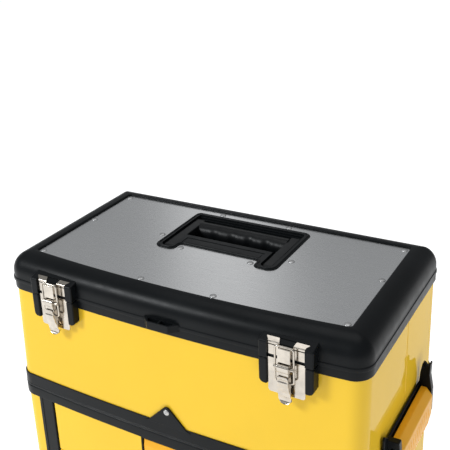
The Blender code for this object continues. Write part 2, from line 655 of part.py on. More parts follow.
def side_clip(side, seam, where, parent):
    tag = f"{where}_{'r' if side > 0 else 'l'}"
    cap = rounded([(249.0, seam - 22.0), (262.0, seam - 22.0), (267.0, seam - 15.0), (266.8, seam + 20.0),
                   (262.7, seam + 41.0), (263.3, seam + 60.0), (260.9, seam + 60.0), (259.8, seam + 51.5),
                   (253.4, seam + 58.0), (251.8, seam + 58.0), (249.2, seam + 43.0), (248.0, seam + 28.0)],
                  (0.0, 3.0, 5.0, 8.0, 0.0, 0.0, 0.0, 0.0, 0.0, 0.0, 0.0, 0.0), segments=2)
    cap = [(side * x, z) for x, z in cap]
    carrier = solid(f"clip_carrier_{tag}", prism(cap, "Y", CLIP_BACK, CLIP_BACK + CLIP_CAP), BLACK, parent)
    strip_x = sorted((side * 247.5, side * 249.4))
    strip = box(strip_x, (CLIP_FRONT - 5, CLIP_BACK + 5), (seam - 12.0, seam + 27.6))
    # The front cap is cut off level, and an ear on the wall leans forward from it.
    low_cap = rounded([(249.0, seam - 22.0), (262.0, seam - 22.0), (267.0, seam - 15.0), (266.8, seam + 20.0),
                       (265.4, seam + 29.5), (248.0, seam + 29.5)], (0.0, 3.0, 5.0, 8.0, 2.0, 0.0), segments=2)
    low_cap = [(side * x, z) for x, z in low_cap]
    ear = rounded([(CLIP_FRONT - 4.0, seam + 8.0), (CLIP_FRONT - 4.0, seam + 29.0), (CLIP_FRONT - 18.0, seam + 40.0),
                   (CLIP_FRONT - 22.0, seam + 38.0), (CLIP_FRONT - 19.0, seam + 8.0)],
                  (0.0, 0.0, 2.0, 2.0, 0.0), segments=2)
    ear_x = sorted((side * 247.6, side * 250.6))
    join(carrier, solid(f"clip_cap_{tag}", prism(low_cap, "Y", CLIP_FRONT - CLIP_CAP, CLIP_FRONT)),
         solid(f"clip_ear_{tag}", prism(ear, "X", *ear_x)), solid(f"clip_strip_{tag}", strip))
    axis_x, axis_z = side * CLIP_AXIS[0], seam + CLIP_AXIS[1]
    middle_y = (CLIP_BACK + CLIP_FRONT) / 2
    span = CLIP_BACK - CLIP_FRONT
    cut(carrier, solid(f"clip_bore_{tag}", rod("Y", (axis_x, middle_y, axis_z), 2.4, span + 8, 12)))

    body = body_empty(f"clip_{tag}", (axis_x, 0, axis_z), parent)
    shape = rounded([(251.4, seam + 22.3), (258.6, seam + 22.3), (266.8, seam + 12.0), (266.8, seam - 14.0),
                     (263.0, seam - 33.0), (259.0, seam - 33.0), (259.0, seam - 20.4), (245.6, seam - 20.4),
                     (245.6, seam - 15.6), (250.2, seam - 15.6), (250.2, seam + 2.0)],
                    (0.0, 2.0, 6.0, 8.0, 2.0, 0.0, 0.0, 0.0, 0.0, 0.0, 0.0), segments=2)
    shape = [(side * x, z) for x, z in shape]
    ends = (CLIP_FRONT + 0.4, CLIP_BACK - 0.4)
    grip = solid(f"clip_grip_{tag}", prism(shape, "Y", *ends), ORANGE, body)
    join(grip, solid(f"clip_pin_{tag}", rod("Y", (axis_x, middle_y, axis_z), 2.0, span + 6, 12)))


# ---------------------------------------------------------------- drawer tier


def tier_frame(name, seam_z, foot_z, plan, body):
    """The ring moulding at a tier's head, with the two front posts down to its foot."""
    ring = [(0.0, seam_z - 14.0 + 0.8), (0.0, seam_z - GAP - 1.2), (1.0, seam_z - GAP), (20.0, seam_z - GAP),
            (20.0, seam_z - 2.2), (1.9, seam_z - 2.2), (1.9, seam_z - 14.3), (0.6, seam_z - 14.3)]
    frame = solid(name, sweep(plan, ring), BLACK, body)
    for side in (-1, 1):
        join(frame, solid(f"{name}_post_{side}", post(plan, side, foot_z, seam_z - 1.0)))
    return frame


def post(plan, side, low, high):
    xs = sorted((side * OPENING_HALF, side * POST_HALF))
    front = [(x, front_line(plan, x) + 0.7) for x in xs]
    back = [(x, front_line(plan, x) + POST_DEPTH) for x in reversed(xs)]
    return prism(front + back, "Z", low, high)


def tier_shell(name, low, high, body):
    """A sheet-steel carcass, open at the front between the posts."""
    shell = solid(name, loft([level(TIER_PLAN, low), level(TIER_PLAN, high)]), YELLOW, body)
    inner = inset(TIER_PLAN, SHEET)
    hollow = loft([level(inner, low + SHEET), level(inner, high - SHEET)])
    mouth = box((-POST_HALF - GAP, POST_HALF + GAP), (-262.0, -225.0), (low - 2.0, high + 2.0))
    cut(shell, solid(name + "_hollow", hollow), solid(name + "_mouth", mouth))
    return shell


def middle_tier():
    frame = tier_frame("middle_frame", TOP_SEAM_Z, MIDDLE_SEAM_Z + 2.0, BAND_PLAN, middle)
    foot = [(0.0, MIDDLE_SEAM_Z + GAP), (0.0, MIDDLE_OPEN_FOOT_Z - 0.8), (0.6, MIDDLE_OPEN_FOOT_Z),
            (1.9, MIDDLE_OPEN_FOOT_Z), (1.9, MIDDLE_SEAM_Z + 2.1), (20.0, MIDDLE_SEAM_Z + 2.1),
            (20.0, MIDDLE_SEAM_Z + GAP)]
    join(frame, solid("middle_foot", sweep(BAND_PLAN, foot)))

    shell = tier_shell("middle_shell", MIDDLE_SEAM_Z + 2.4, TOP_SEAM_Z - 2.6, middle)
    for side in (-1, 1):
        wall_x = sorted((side * 186.0, side * 187.5))
        wall = box(wall_x, (-222.0, 24.6), (MIDDLE_SEAM_Z + 3.0, TOP_SEAM_Z - 3.2))
        join(shell, solid(f"middle_wall_{side}", wall))
        runner(side)
    levels = (MIDDLE_OPEN_FOOT_Z + 1.0, (MIDDLE_OPEN_FOOT_Z + MIDDLE_OPEN_TOP_Z) / 2, MIDDLE_OPEN_TOP_Z - 1.0)
    drawer("lower", levels[0], levels[1] - 0.75)
    drawer("upper", levels[1] + 0.75, levels[2])


def runner(side):
    """One pressed-steel plate with a ledge for each drawer."""
    tag = "r" if side > 0 else "l"
    upper = (MIDDLE_OPEN_FOOT_Z + MIDDLE_OPEN_TOP_Z) / 2 + 3.0
    low = MIDDLE_OPEN_FOOT_Z + 3.0
    plate_x = sorted((side * 184.2, side * 185.7))
    plate = solid(f"drawer_runner_{tag}", box(plate_x, (-216.0, 18.0), (low, 400.0)), STEEL, middle)
    for n, z in enumerate((low, upper)):
        ledge = box(sorted((side * 172.0, side * 184.8)), (-216.0, 18.0), (z, z + SHEET))
        join(plate, solid(f"ledge_{tag}{n}", ledge))


def pull_front(name, plan, low, high, body):
    """A bowed front panel with a notch at its head, the black cup in it and the orange pull."""
    panel = solid(f"{name}_front", bowed_slab(plan, DOOR_HALF, DOOR_THICK, (low, high)), YELLOW, body)
    inside = bowed_slab(plan, DOOR_HALF - SHEET, DOOR_THICK + 2, (low + SHEET, high - SHEET), setback=SHEET)
    cut(panel, solid(f"{name}_folds", inside))
    face = front_line(plan, 0.0)
    notch = box((-44.0, 44.0), (face - 5.0, face + 20.0), (high - 36.0, high + 2.0))
    cut(panel, solid(f"{name}_notch", notch))
    cup = box((-43.7, 43.7), (face + 0.2, face + 19.0), (high - 35.7, high - GAP))
    cup = solid(f"{name}_bezel", cup, BLACK, body)
    cup_hollow = box((-41.7, 41.7), (face - 2.0, face + 17.0), (high - 33.7, high - 2.3))
    cut(cup, solid(f"{name}_cup_hollow", cup_hollow))

    axis = (face + 5.0, high - 6.0)
    bores = rod("X", (0, *axis), 2.0, 86.4, 12)
    cut(cup, solid(f"{name}_pull_bore", bores))
    pull_body = body_empty(f"{name}_pull", (0, *axis), body)
    flap = rounded([(face + 3.2, high - 3.4), (face + 8.0, high - 3.4), (face + 8.0, high - 12.0),
                    (face + 4.0, high - 25.0), (face + 0.8, high - 25.0), (face + 1.6, high - 12.0)],
                   (1.5, 0.0, 0.0, 1.0, 1.0, 0.0), segments=2)
    pull = solid(f"{name}_pull", prism(flap, "X", -40.7, 40.7), ORANGE, pull_body)
    join(pull, solid(f"{name}_pull_pin", rod("X", (0, *axis), 1.6, 84.6, 12)))
    return panel


def drawer(name, low, high):
    body = body_empty(f"drawer_{name}", (0, 0, low), middle)
    pull_front(f"drawer_{name}", TIER_PLAN, low, high, body)
    floor = low + 4.2
    tray = box((-183.6, 183.6), (-228.6, 14.0), (floor, high - 9.0))
    tray = solid(f"drawer_{name}_tray", tray, STEEL, body)
    room = box((-182.1, 182.1), (-227.1, 12.5), (floor + SHEET, high))
    cut(tray, solid(f"drawer_{name}_hollow", room))


# ---------------------------------------------------------------- base tier


def base_tier():
    frame = tier_frame("base_frame", MIDDLE_SEAM_Z, PLINTH_TOP_Z + GAP, BAND_PLAN, root)
    shell = tier_shell("base_shell", PLINTH_TOP_Z + GAP, MIDDLE_SEAM_Z - 2.6, root)
    plinth = solid(
        "base_plinth",
        sweep(BAND_PLAN, [
            (3.0, PLINTH_FOOT_Z), (0.0, PLINTH_FOOT_Z + 3.0), (0.0, PLINTH_TOP_Z - 1.0), (1.0, PLINTH_TOP_Z),
            (4.5, PLINTH_TOP_Z), (4.5, PLINTH_FOOT_Z + 12.0), (24.0, PLINTH_FOOT_Z + 12.0),
            (24.0, PLINTH_FOOT_Z),
        ]),
        BLACK, root,
    )
    floor = box((-225.0, 225.0), (-225.0, 8.0), (PLINTH_FOOT_Z + 2.0, PLINTH_FOOT_Z + 5.0))
    join(plinth, solid("plinth_floor", floor))
    cut(plinth, solid("plinth_mouth", box((-OPENING_HALF, OPENING_HALF), (-262.0, -236.0), (57.0, 90.0))))
    for side in (-1, 1):
        wheel_well(side, shell, plinth)
        bracket(side, frame, plinth)
        wheel(side)
        tag = "r" if side > 0 else "l"
        tall = PLINTH_FOOT_Z - GAP
        foot = rod("Z", (side * 205.0, -212.0, tall / 2), 17.0, tall, 20, end_radius=19.0)
        solid(f"front_foot_{tag}", foot, RUBBER, root, smooth=True)
        pivot = rod("X", (side * (OPENING_HALF + 4.0), *BIN_AXIS), 4.4, 16.0)
        cut(frame, solid(f"pivot_bore_{tag}", pivot))
    axle = rod("X", (0, *AXLE_AXIS), AXLE_RADIUS, 2 * 243.0, 16)
    axle = solid("wheel_axle", axle, STEEL, root, smooth=True)
    for side in (-1, 1):
        join(axle, solid(f"axle_cap_{side}", rod("X", (side * 241.5, *AXLE_AXIS), 9.0, 5.0, 16)))


def wheel_well(side, shell, plinth):
    """The black arch over a rear wheel, let into the carcass's corner."""
    tag = "r" if side > 0 else "l"
    wall = 3.0
    out = 246.2
    block_x = sorted((side * (WELL_X - wall), side * out))
    block = box(block_x, (WELL_FRONT - wall, 27.0), (30.0, WELL_TOP_Z + wall))
    ear = rounded([(20.0, 30.0), (50.0, 36.0), (50.0, 64.0), (20.0, 80.0)], (0.0, 8.0, 8.0, 0.0))
    ear_x = sorted((side * (WELL_X - wall), side * (WELL_X + 1.0)))
    join(plinth, solid(f"arch_{tag}", block), solid(f"axle_ear_{tag}", prism(ear, "X", *ear_x)))
    well = box(sorted((side * WELL_X, side * 262.0)), (WELL_FRONT, 60.0), (-5.0, WELL_TOP_Z))
    bore = rod("X", (side * WELL_X, *AXLE_AXIS), AXLE_RADIUS + GAP, 20.0)
    cut(plinth, solid(f"well_{tag}", well), solid(f"axle_bore_{tag}", bore))
    room = box(sorted((side * (WELL_X - wall - GAP), side * 262.0)), (WELL_FRONT - wall - GAP, 60.0),
               (20.0, WELL_TOP_Z + wall + GAP))
    cut(shell, solid(f"arch_room_{tag}", room))


def bracket(side, frame, plinth):
    """Lugs behind the base that carry the telescopic handle's sleeves."""
    tag = "r" if side > 0 else "l"
    x = (side * TUBE_X - 19.0, side * TUBE_X + 19.0)
    join(frame, solid(f"head_lug_{tag}", box(x, (26.3, 67.0), (240.6, 253.2))))
    join(plinth, solid(f"foot_lug_{tag}", box(x, (24.4, 67.0), (57.0, 69.0))))
    hole_x = (side * TUBE_X - SLEEVE_SIZE[0] / 2 - GAP, side * TUBE_X + SLEEVE_SIZE[0] / 2 + GAP)
    hole_y = (TUBE_Y - SLEEVE_SIZE[1] / 2 - GAP, TUBE_Y + SLEEVE_SIZE[1] / 2 + GAP)
    cut(frame, solid(f"head_hole_{tag}", box(hole_x, hole_y, (230.0, 260.0))))
    cut(plinth, solid(f"foot_hole_{tag}", box(hole_x, hole_y, (60.0, 80.0))))


def wheel(side):
    tag = "r" if side > 0 else "l"
    body = body_empty(f"wheel_{tag}", (0, *AXLE_AXIS), root)
    centre = (side * (WHEEL_INNER_X + WHEEL_OUTER_X) / 2, *AXLE_AXIS)
    width = WHEEL_OUTER_X - WHEEL_INNER_X
    tyre = solid(f"wheel_tyre_{tag}", rod("X", centre, WHEEL_RADIUS, width, 32), RUBBER, body, smooth=True)
    bevel = tyre.modifiers.new("tread_edge", "BEVEL")
    bevel.width = 4.0 * MM
    bevel.segments = 1
    bevel.angle_limit = math.radians(60)
    cut(tyre, solid(f"tyre_bore_{tag}", rod("X", centre, 36.0, width + 10, 24)))
    disc = rod("X", centre, 36.0 - 2 * GAP, width - 4.0, 24)
    hub = solid(f"wheel_hub_{tag}", disc, BLACK, body, smooth=True)
    dish = rod("X", (side * WHEEL_OUTER_X, *AXLE_AXIS), 31.0, 2 * 10.0, 24)
    boss = rod("X", centre, 12.0, width - 6.0, 20)
    cut(hub, solid(f"hub_dish_{tag}", dish))
    join(hub, solid(f"hub_boss_{tag}", boss))
    cut(hub, solid(f"hub_bore_{tag}", rod("X", centre, AXLE_RADIUS + 0.3, width + 10, 16)))


def tilt_bin():
    body = body_empty("tilt_bin", (0, *BIN_AXIS), root)
    low, high = 71.0, BASE_OPEN_TOP_Z - 1.0
    pull_front("bin", TIER_PLAN, low, high, body)
    side_shape = [(-228.4, 76.0), (-62.0, 76.0), (-60.0, 78.0), (-60.0, 140.0), (-200.0, 196.0),
                  (-228.4, 200.0)]
    tub = solid("bin_tub", prism(side_shape, "X", -184.0, 184.0), BLACK, body)
    room = [(-226.2, 78.4), (-63.0, 78.4), (-62.4, 79.0), (-62.4, 160.0), (-198.0, 230.0), (-226.2, 230.0)]
    cut(tub, solid("bin_room", prism(room, "X", -181.6, 181.6)))
    rod_y, rod_z = BIN_AXIS
    for side in (-1, 1):
        tag = "r" if side > 0 else "l"
        knuckle_x = sorted((side * 176.0, side * 184.0))
        knuckle = rounded([(rod_y - 6.5, rod_z - 6.5), (rod_y + 6.5, rod_z - 6.5), (rod_y + 6.5, rod_z + 6.5),
                           (rod_y - 6.5, rod_z + 6.5)], (5.0, 5.0, 5.0, 5.0), segments=2)
        # the knuckle fills the tub's lower front corner, so that the rod's bore has material round it
        join(tub, solid(f"bin_knuckle_{tag}", prism(knuckle, "X", *knuckle_x)))
    cut(tub, solid("bin_rod_bore", rod("X", (0, *BIN_AXIS), 4.0, 400.0)))
    pivot_rod = rod("X", (0, *BIN_AXIS), 3.6, 2 * (OPENING_HALF + 10.0), 12)
    solid("bin_pivot_rod", pivot_rod, STEEL, root, smooth=True)
    cut(bpy.data.objects["bin_front"], solid("bin_rod_room", rod("X", (0, *BIN_AXIS), 8.2, 400.0)))


# ---------------------------------------------------------------- telescopic handle


def square_tube(name, x, size, z, wall, paint, body):
    outer = box((x - size[0] / 2, x + size[0] / 2), (TUBE_Y - size[1] / 2, TUBE_Y + size[1] / 2), z)
    tube = solid(name, outer, paint, body)
    inner = (size[0] / 2 - wall, size[1] / 2 - wall)
    bore = box((x - inner[0], x + inner[0]), (TUBE_Y - inner[1], TUBE_Y + inner[1]), (z[0] - 5, z[1] + 5))
    cut(tube, solid(name + "_bore", bore))
    return tube


def telescopic_handle():
    stage_one = body_empty("handle_lower", (0, TUBE_Y, 90.0), root)
    stage_two = body_empty("handle_upper", (0, TUBE_Y, 100.0), stage_one)
    middle_size = (SLEEVE_SIZE[0] - STAGE_STEP, SLEEVE_SIZE[1] - STAGE_STEP)
    inner_size = (middle_size[0] - STAGE_STEP, middle_size[1] - STAGE_STEP)
    for side in (-1, 1):
        tag = "r" if side > 0 else "l"
        x = side * TUBE_X
        square_tube(f"handle_sleeve_{tag}", x, SLEEVE_SIZE, (60.4, 262.0), SLEEVE_WALL, STEEL, root)
        square_tube(f"handle_tube_{tag}", x, middle_size, (70.0, 395.0), SLEEVE_WALL, STEEL, stage_one)
        square_tube(f"handle_inner_tube_{tag}", x, inner_size, (80.0, 566.0), 1.2, STEEL, stage_two)
    deep = (TUBE_Y - 12, TUBE_Y + 12)
    collar = solid("handle_collar", box((-118.0, 118.0), deep, (395.3, 409.0)), BLACK, stage_one)
    grip = solid("handle_grip", box((-122.0, 122.0), deep, (560.0, 590.0)), BLACK, stage_two)
    rounding = grip.modifiers.new("rounding", "BEVEL")
    rounding.width = 6.0 * MM
    rounding.segments = 3
    for side in (-1, 1):
        x = side * TUBE_X
        half = (inner_size[0] / 2 + GAP, inner_size[1] / 2 + GAP)
        hole = ((x - half[0], x + half[0]), (TUBE_Y - half[1], TUBE_Y + half[1]))
        cut(collar, solid(f"collar_hole_{side}", box(*hole, (390.0, 415.0))))
        cut(grip, solid(f"grip_socket_{side}", box(*hole, (550.0, 566.3))))
    cut(grip, solid("button_pocket", box((-17.0, 17.0), (TUBE_Y - 7, TUBE_Y + 7), (578.0, 600.0))))
    button_body = body_empty("handle_button", (0, TUBE_Y, 588.0), stage_two)
    button = box((-16.4, 16.4), (TUBE_Y - 6.4, TUBE_Y + 6.4), (582.0, 592.0))
    button = solid("handle_button", button, ORANGE, button_body)
    soft = button.modifiers.new("rounding", "BEVEL")
    soft.width = 2.0 * MM
    soft.segments = 2


top_box()
lid_pieces()
carry_handle()
for hand in (-1, 1):
    toggle_latch(hand)
    side_clip(hand, TOP_SEAM_Z, "upper", top)
    side_clip(hand, MIDDLE_SEAM_Z, "lower", middle)
middle_tier()
base_tier()
tilt_bin()
telescopic_handle()
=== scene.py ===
"""The look of the rolling tool box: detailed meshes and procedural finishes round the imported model.

Sizes are in millimetres: x across, y from the back edge of the lid's metal plate (+y to the back), z up from
the floor. at() turns them into metres in the model's frame.
"""

import math

import bmesh
import bpy
from mathutils import Matrix, Vector


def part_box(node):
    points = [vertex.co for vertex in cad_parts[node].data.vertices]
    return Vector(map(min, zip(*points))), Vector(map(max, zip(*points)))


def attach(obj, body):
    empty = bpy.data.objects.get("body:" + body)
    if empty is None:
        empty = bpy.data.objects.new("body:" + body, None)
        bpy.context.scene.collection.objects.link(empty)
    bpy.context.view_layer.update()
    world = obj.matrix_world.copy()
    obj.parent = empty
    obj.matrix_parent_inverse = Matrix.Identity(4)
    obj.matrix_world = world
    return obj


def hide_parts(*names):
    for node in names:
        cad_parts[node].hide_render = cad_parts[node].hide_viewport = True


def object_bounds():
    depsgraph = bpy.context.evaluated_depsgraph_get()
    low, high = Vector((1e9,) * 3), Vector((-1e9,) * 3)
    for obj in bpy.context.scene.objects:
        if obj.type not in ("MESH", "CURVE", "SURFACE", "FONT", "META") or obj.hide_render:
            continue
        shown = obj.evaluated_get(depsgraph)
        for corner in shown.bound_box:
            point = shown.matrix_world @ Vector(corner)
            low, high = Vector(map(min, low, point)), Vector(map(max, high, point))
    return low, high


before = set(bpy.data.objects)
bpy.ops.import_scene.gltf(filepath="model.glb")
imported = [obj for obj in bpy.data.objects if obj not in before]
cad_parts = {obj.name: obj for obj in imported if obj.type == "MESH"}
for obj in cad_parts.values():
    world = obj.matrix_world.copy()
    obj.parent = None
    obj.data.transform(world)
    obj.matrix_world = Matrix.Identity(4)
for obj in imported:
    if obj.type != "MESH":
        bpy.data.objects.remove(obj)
cad_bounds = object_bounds()
scene = bpy.context.scene

MM = 0.001
PLATE_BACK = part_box("lid_plate")[1][1]  # the y that lengths are measured from


def span(node):
    """A CAD node's lowest and highest corner in millimetres, in this script's own measure."""
    low, high = (Vector(corner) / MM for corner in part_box(node))
    shift = Vector((0.0, PLATE_BACK / MM, 0.0))
    return low - shift, high - shift


def at(x, y, z):
    return Vector((x * MM, y * MM + PLATE_BACK, z * MM))


# Driving heights, read from the frame
LID_TOP = span("lid_shell")[1].z
PLATE_TOP = LID_TOP - 2.6
LID_SEAM = span("latch_catch_l")[0].z - 1.5
RIM_FOOT = LID_SEAM - 11.5
BAND_FOOT = span("top_box_band")[0].z - 0.3
BAND_TOP = BAND_FOOT + 19.4
TIER_FOOT = span("middle_frame")[0].z - 0.3
PLINTH_TOP = span("base_shell")[0].z - 0.3
PLINTH_FOOT = span("base_plinth")[0].z
RING = 14.3  # height of the ring moulding at the head of a lower tier
GAP = 0.3
SHEET = 1.0


# ---- sizes shared by the pieces

LATCH_X = (span("latch_base_r")[0].x + span("latch_base_r")[1].x) / 2
HOLDER_HALF, HOLDER_FOOT, HOLDER_FRONT = 32.4, 563.5, -254.0
CHANNEL_HALF, CHANNEL_FLOOR = 22.3, -249.8
LATCH_HALF, LATCH_FRONT, LATCH_SHEET = CHANNEL_HALF - GAP, -251.3, 1.2
CATCH_FOLD = 617.3  # height of the fold between the catch plate's face and its tabs
HOOK_HALF, HOOK_FRONT = 7.6, -258.2
LEVER_AXIS, LEVER_HALF = (-257.5, 592.6), 6.9
BAIL_AXIS, BAIL_HALF, WIRE_RADIUS = (-256.0, 574.2), 10.9, 1.15
ARM_INNER, ARM_OUTER = 66.0, 79.0
HANDLE_AXIS = (-114.0, 624.5)
GRIP, GRIP_RADIUS, FINGER_PITCH = (-42.0, 618.5), 12.5, 26.0
WELL_FLOOR = 604.0
KNUCKLE_X, KNUCKLE_PITCH, HINGE_AXIS = 140.0, 16.0, (34.5, 600.0)
WALL_HEAD = 593.0  # the yellow wall's upper edge, inside the rim
OPENING_HALF, POST_HALF, DOOR_HALF, DOOR_THICK = 190.8, 215.5, 189.8, 10.0
CLIP_BACK, CLIP_FRONT, CLIP_CAP = -42.0, -163.0, 9.0
CLIP_AXIS_X, CLIP_AXIS_RISE = 256.5, 18.0
RIBS = 13
TUBE_X, TUBE_Y = 100.0, 53.5
LUG_HALF, SLEEVE_ROOM = 19.0, (13.3, 10.3)
AXLE_AXIS, BIN_AXIS = (38.0, 50.0), (-231.0, 81.0)
WELL_X, WELL_FRONT, WELL_TOP = 200.0, -18.0, 106.0
WELL_WALL, WELL_ROOM = 3.0, 3.3  # the plinth's wall round a wheel, and the carcass's hole round that
WHEEL_INNER, WHEEL_OUTER = 204.0, 238.0


# ---- plans


class Plan:
    """A rectangle with a front that bows outwards and its own corner radius at the front and at the back."""

    def __init__(self, half, front, bow, back, radius, back_radius):
        self.half, self.front, self.bow, self.back = half, front, bow, back
        self.radius, self.back_radius = radius, back_radius

    def front_at(self, x):
        return self.front - self.bow * (1.0 - (x / self.half) ** 2)

    def inset(self, distance):
        radii = (max(self.radius - distance, 1.0), max(self.back_radius - distance, 1.0))
        return Plan(self.half - distance, self.front + distance, self.bow, self.back - distance, *radii)

    def outline(self):
        front_steps, corner_steps = 36, 9
        reach = self.half - self.radius
        xs = [-reach + 2 * reach * i / front_steps for i in range(front_steps + 1)]
        points = [(x, self.front_at(x)) for x in xs]
        low, high = self.front_at(reach) + self.radius, self.back - self.back_radius
        far = self.half - self.back_radius
        corners = ((reach, low, self.radius), (far, high, self.back_radius), (-far, high, self.back_radius),
                   (-reach, low, self.radius))
        for n, (x, y, radius) in enumerate(corners):
            first, last = (1 if n == 0 else 0), (corner_steps - 1 if n == 3 else corner_steps)
            for i in range(first, last + 1):
                angle = math.radians(90 * (n - 1) + 90 * i / corner_steps)
                points.append((x + radius * math.cos(angle), y + radius * math.sin(angle)))
        return points

    def level(self, z):
        return [(x, y, z) for x, y in self.outline()]


LID = Plan(248.5, -239.0, 9.9, 28.8, 24.0, 19.0)
PLATE = Plan(217.0, -209.5, 10.95, 0.0, 4.0, 4.0)
RIM = Plan(247.2, -237.6, 9.7, 27.6, 23.0, 16.0)
BOX_TOP = Plan(244.8, -235.5, 9.7, 25.4, 21.0, 14.0)
BOX_FOOT = Plan(245.0, -241.2, 8.3, 25.4, 21.0, 14.0)
BAND = Plan(247.2, -243.3, 8.3, 27.6, 23.0, 16.0)


# ---- mesh helpers


def quarter(foot, wide, high, steps):
    """Points on a quarter of an ellipse, from its outer edge at a height up to its top."""
    angles = [math.radians(90 * i / steps) for i in range(steps + 1)]
    return [(wide * math.cos(angle), foot + high * math.sin(angle)) for angle in angles]


def rounded(profile, radii, steps):
    """The outline with each corner rounded by its radius. One number rounds them all."""
    if not isinstance(radii, (tuple, list)):
        radii = [radii] * len(profile)
    points = []
    for i, radius in enumerate(radii):
        here = Vector(profile[i])
        before = Vector(profile[i - 1]) - here
        after = Vector(profile[(i + 1) % len(profile)]) - here
        if radius <= 0:
            points.append(tuple(here))
            continue
        half = before.angle(after) / 2
        start = here + before.normalized() * (radius / math.tan(half))
        end = here + after.normalized() * (radius / math.tan(half))
        centre = here + (before.normalized() + after.normalized()).normalized() * (radius / math.sin(half))
        turn = (start - centre).angle_signed(end - centre)
        for step in range(steps + 1):
            points.append(tuple(centre + Matrix.Rotation(-turn * step / steps, 2) @ (start - centre)))
    return points


def rect(a, b):
    """The corners of a rectangle from its two (first, last) pairs."""
    return [(a[0], b[0]), (a[1], b[0]), (a[1], b[1]), (a[0], b[1])]


def around(y, z, reach):
    """The corners of a square of half width reach about a centre."""
    return rect((y - reach, y + reach), (z - reach, z + reach))


def mirrored(side, outline):
    """An (x, z) outline drawn for the right, on either side."""
    return [(side * x, z) for x, z in outline]


def lifted(outline, z):
    return [(x, y, z) for x, y in outline]


def raised(level, profile):
    """A profile whose second numbers are given above a level."""
    return [(a, level + rise) for a, rise in profile]


def area_of(outline):
    return sum(a[0] * b[1] - b[0] * a[1] for a, b in zip(outline, outline[1:] + outline[:1])) / 2


def shrunk(outline, distance):
    """The outline moved inwards by a distance, point for point."""
    turn = 1.0 if area_of(outline) > 0 else -1.0
    moved = []
    for i, point in enumerate(outline):
        here = Vector(point)
        before = (here - Vector(outline[i - 1])).normalized()
        after = (Vector(outline[(i + 1) % len(outline)]) - here).normalized()
        side = (before + after).orthogonal().normalized() * turn
        along = before.orthogonal().normalized() * turn
        moved.append(tuple(here + side * distance / max(side.dot(along), 0.3)))
    return moved


def skin(rings, loop=False):
    """A mesh through rings of equal point counts, capped at its ends, or closed back on its first ring."""
    made = bmesh.new()
    rows = [[made.verts.new(at(*point)) for point in ring] for ring in rings]
    pairs = list(zip(rows, rows[1:])) + ([(rows[-1], rows[0])] if loop else [])
    for low, high in pairs:
        for i in range(len(low)):
            j = (i + 1) % len(low)
            made.faces.new((low[i], low[j], high[j], high[i]))
    if not loop:
        made.faces.new(rows[0])
        made.faces.new(rows[-1])
    return made


def sweep(plan, profile):
    """A closed moulding round a plan: the profile is (inset, z) points."""
    return skin([plan.inset(d).level(z) for d, z in profile], loop=True)


PLACE = {
    "X": lambda a, b, t: (t, a, b),
    "Y": lambda a, b, t: (a, t, b),
    "Z": lambda a, b, t: (a, b, t),
}


def slab(outline, axis, low, high, edge=0.0, steps=2):
    """A flat outline carried along an axis, its end edges rounded: (y, z) for X, (x, z) for Y, (x, y) for Z."""
    place = PLACE[axis]
    low, high = min(low, high), max(low, high)
    if edge <= 0:
        stations = [(low, 0.0), (high, 0.0)]
    else:
        turns = [math.radians(90 * i / steps) for i in range(steps + 1)]
        ends = [(edge * (1 - math.sin(t)), edge * (1 - math.cos(t))) for t in turns]
        stations = [(low + along, back) for back, along in ends]
        stations += [(high - along, back) for back, along in reversed(ends)]
    return skin([[place(a, b, t) for a, b in shrunk(outline, d)] for t, d in stations])


def block(x, y, z, edge=0.0, corner=0.0, axis="Z"):
    """A box from three (low, high) pairs, with rounded edges."""
    pairs = {"X": (y, z, x), "Y": (x, z, y), "Z": (x, y, z)}[axis]
    (a0, a1), (b0, b1), (t0, t1) = (sorted(pair) for pair in pairs)
    outline = rect((a0, a1), (b0, b1))
    if max(corner, edge) > 0:
        outline = rounded(outline, max(corner, edge), 3 if corner < 3 else 6)
    return slab(outline, axis, t0, t1, edge)


def lathe(profile, axis, centre, sides, loop=False):
    """A profile of (along, radius) points turned about an axis through a centre."""
    rings = []
    for along, radius in profile:
        ring = []
        for i in range(sides):
            angle = 2 * math.pi * i / sides
            a, b = radius * math.cos(angle), radius * math.sin(angle)
            offset = {"X": (along, a, b), "Y": (b, along, a), "Z": (a, b, along)}[axis]
            ring.append(tuple(c + o for c, o in zip(centre, offset)))
        rings.append(ring)
    return skin(rings, loop=loop)


def tube(path, radius, sides):
    """A round bar along a path of points."""
    points = [Vector(point) for point in path]
    rings = []
    normal = None
    for i, here in enumerate(points):
        ahead = points[min(i + 1, len(points) - 1)] - points[max(i - 1, 0)]
        ahead.normalize()
        if normal is None:
            normal = ahead.orthogonal()
        normal = (normal - ahead * normal.dot(ahead)).normalized()
        across = ahead.cross(normal)
        ring = [here + (normal * math.cos(a) + across * math.sin(a)) * radius
                for a in (2 * math.pi * k / sides for k in range(sides))]
        rings.append([tuple(p) for p in ring])
    return skin(rings)


def bent(path, radius, steps):
    """A path of straight runs with each bend rounded."""
    points = [Vector(point) for point in path]
    found = [points[0]]
    for before, here, after in zip(points, points[1:], points[2:]):
        back, on = (before - here), (after - here)
        reach = min(radius, back.length * 0.49, on.length * 0.49)
        start, end = here + back.normalized() * reach, here + on.normalized() * reach
        for i in range(steps + 1):
            t = i / steps
            found.append(start * (1 - t) ** 2 + here * 2 * t * (1 - t) + end * t * t)
    return [tuple(p) for p in found + [points[-1]]]


def merged(*meshes):
    """Several bmeshes as one."""
    made = bmesh.new()
    for part in meshes:
        bmesh.ops.recalc_face_normals(part, faces=part.faces)
        held = bpy.data.meshes.new("held")
        part.to_mesh(held)
        part.free()
        made.from_mesh(held)
        bpy.data.meshes.remove(held)
    return made


def to_object(name, mesh):
    bmesh.ops.recalc_face_normals(mesh, faces=mesh.faces)
    data = bpy.data.meshes.new(name)
    mesh.to_mesh(data)
    mesh.free()
    made = bpy.data.objects.new(name, data)
    scene.collection.objects.link(made)
    return made


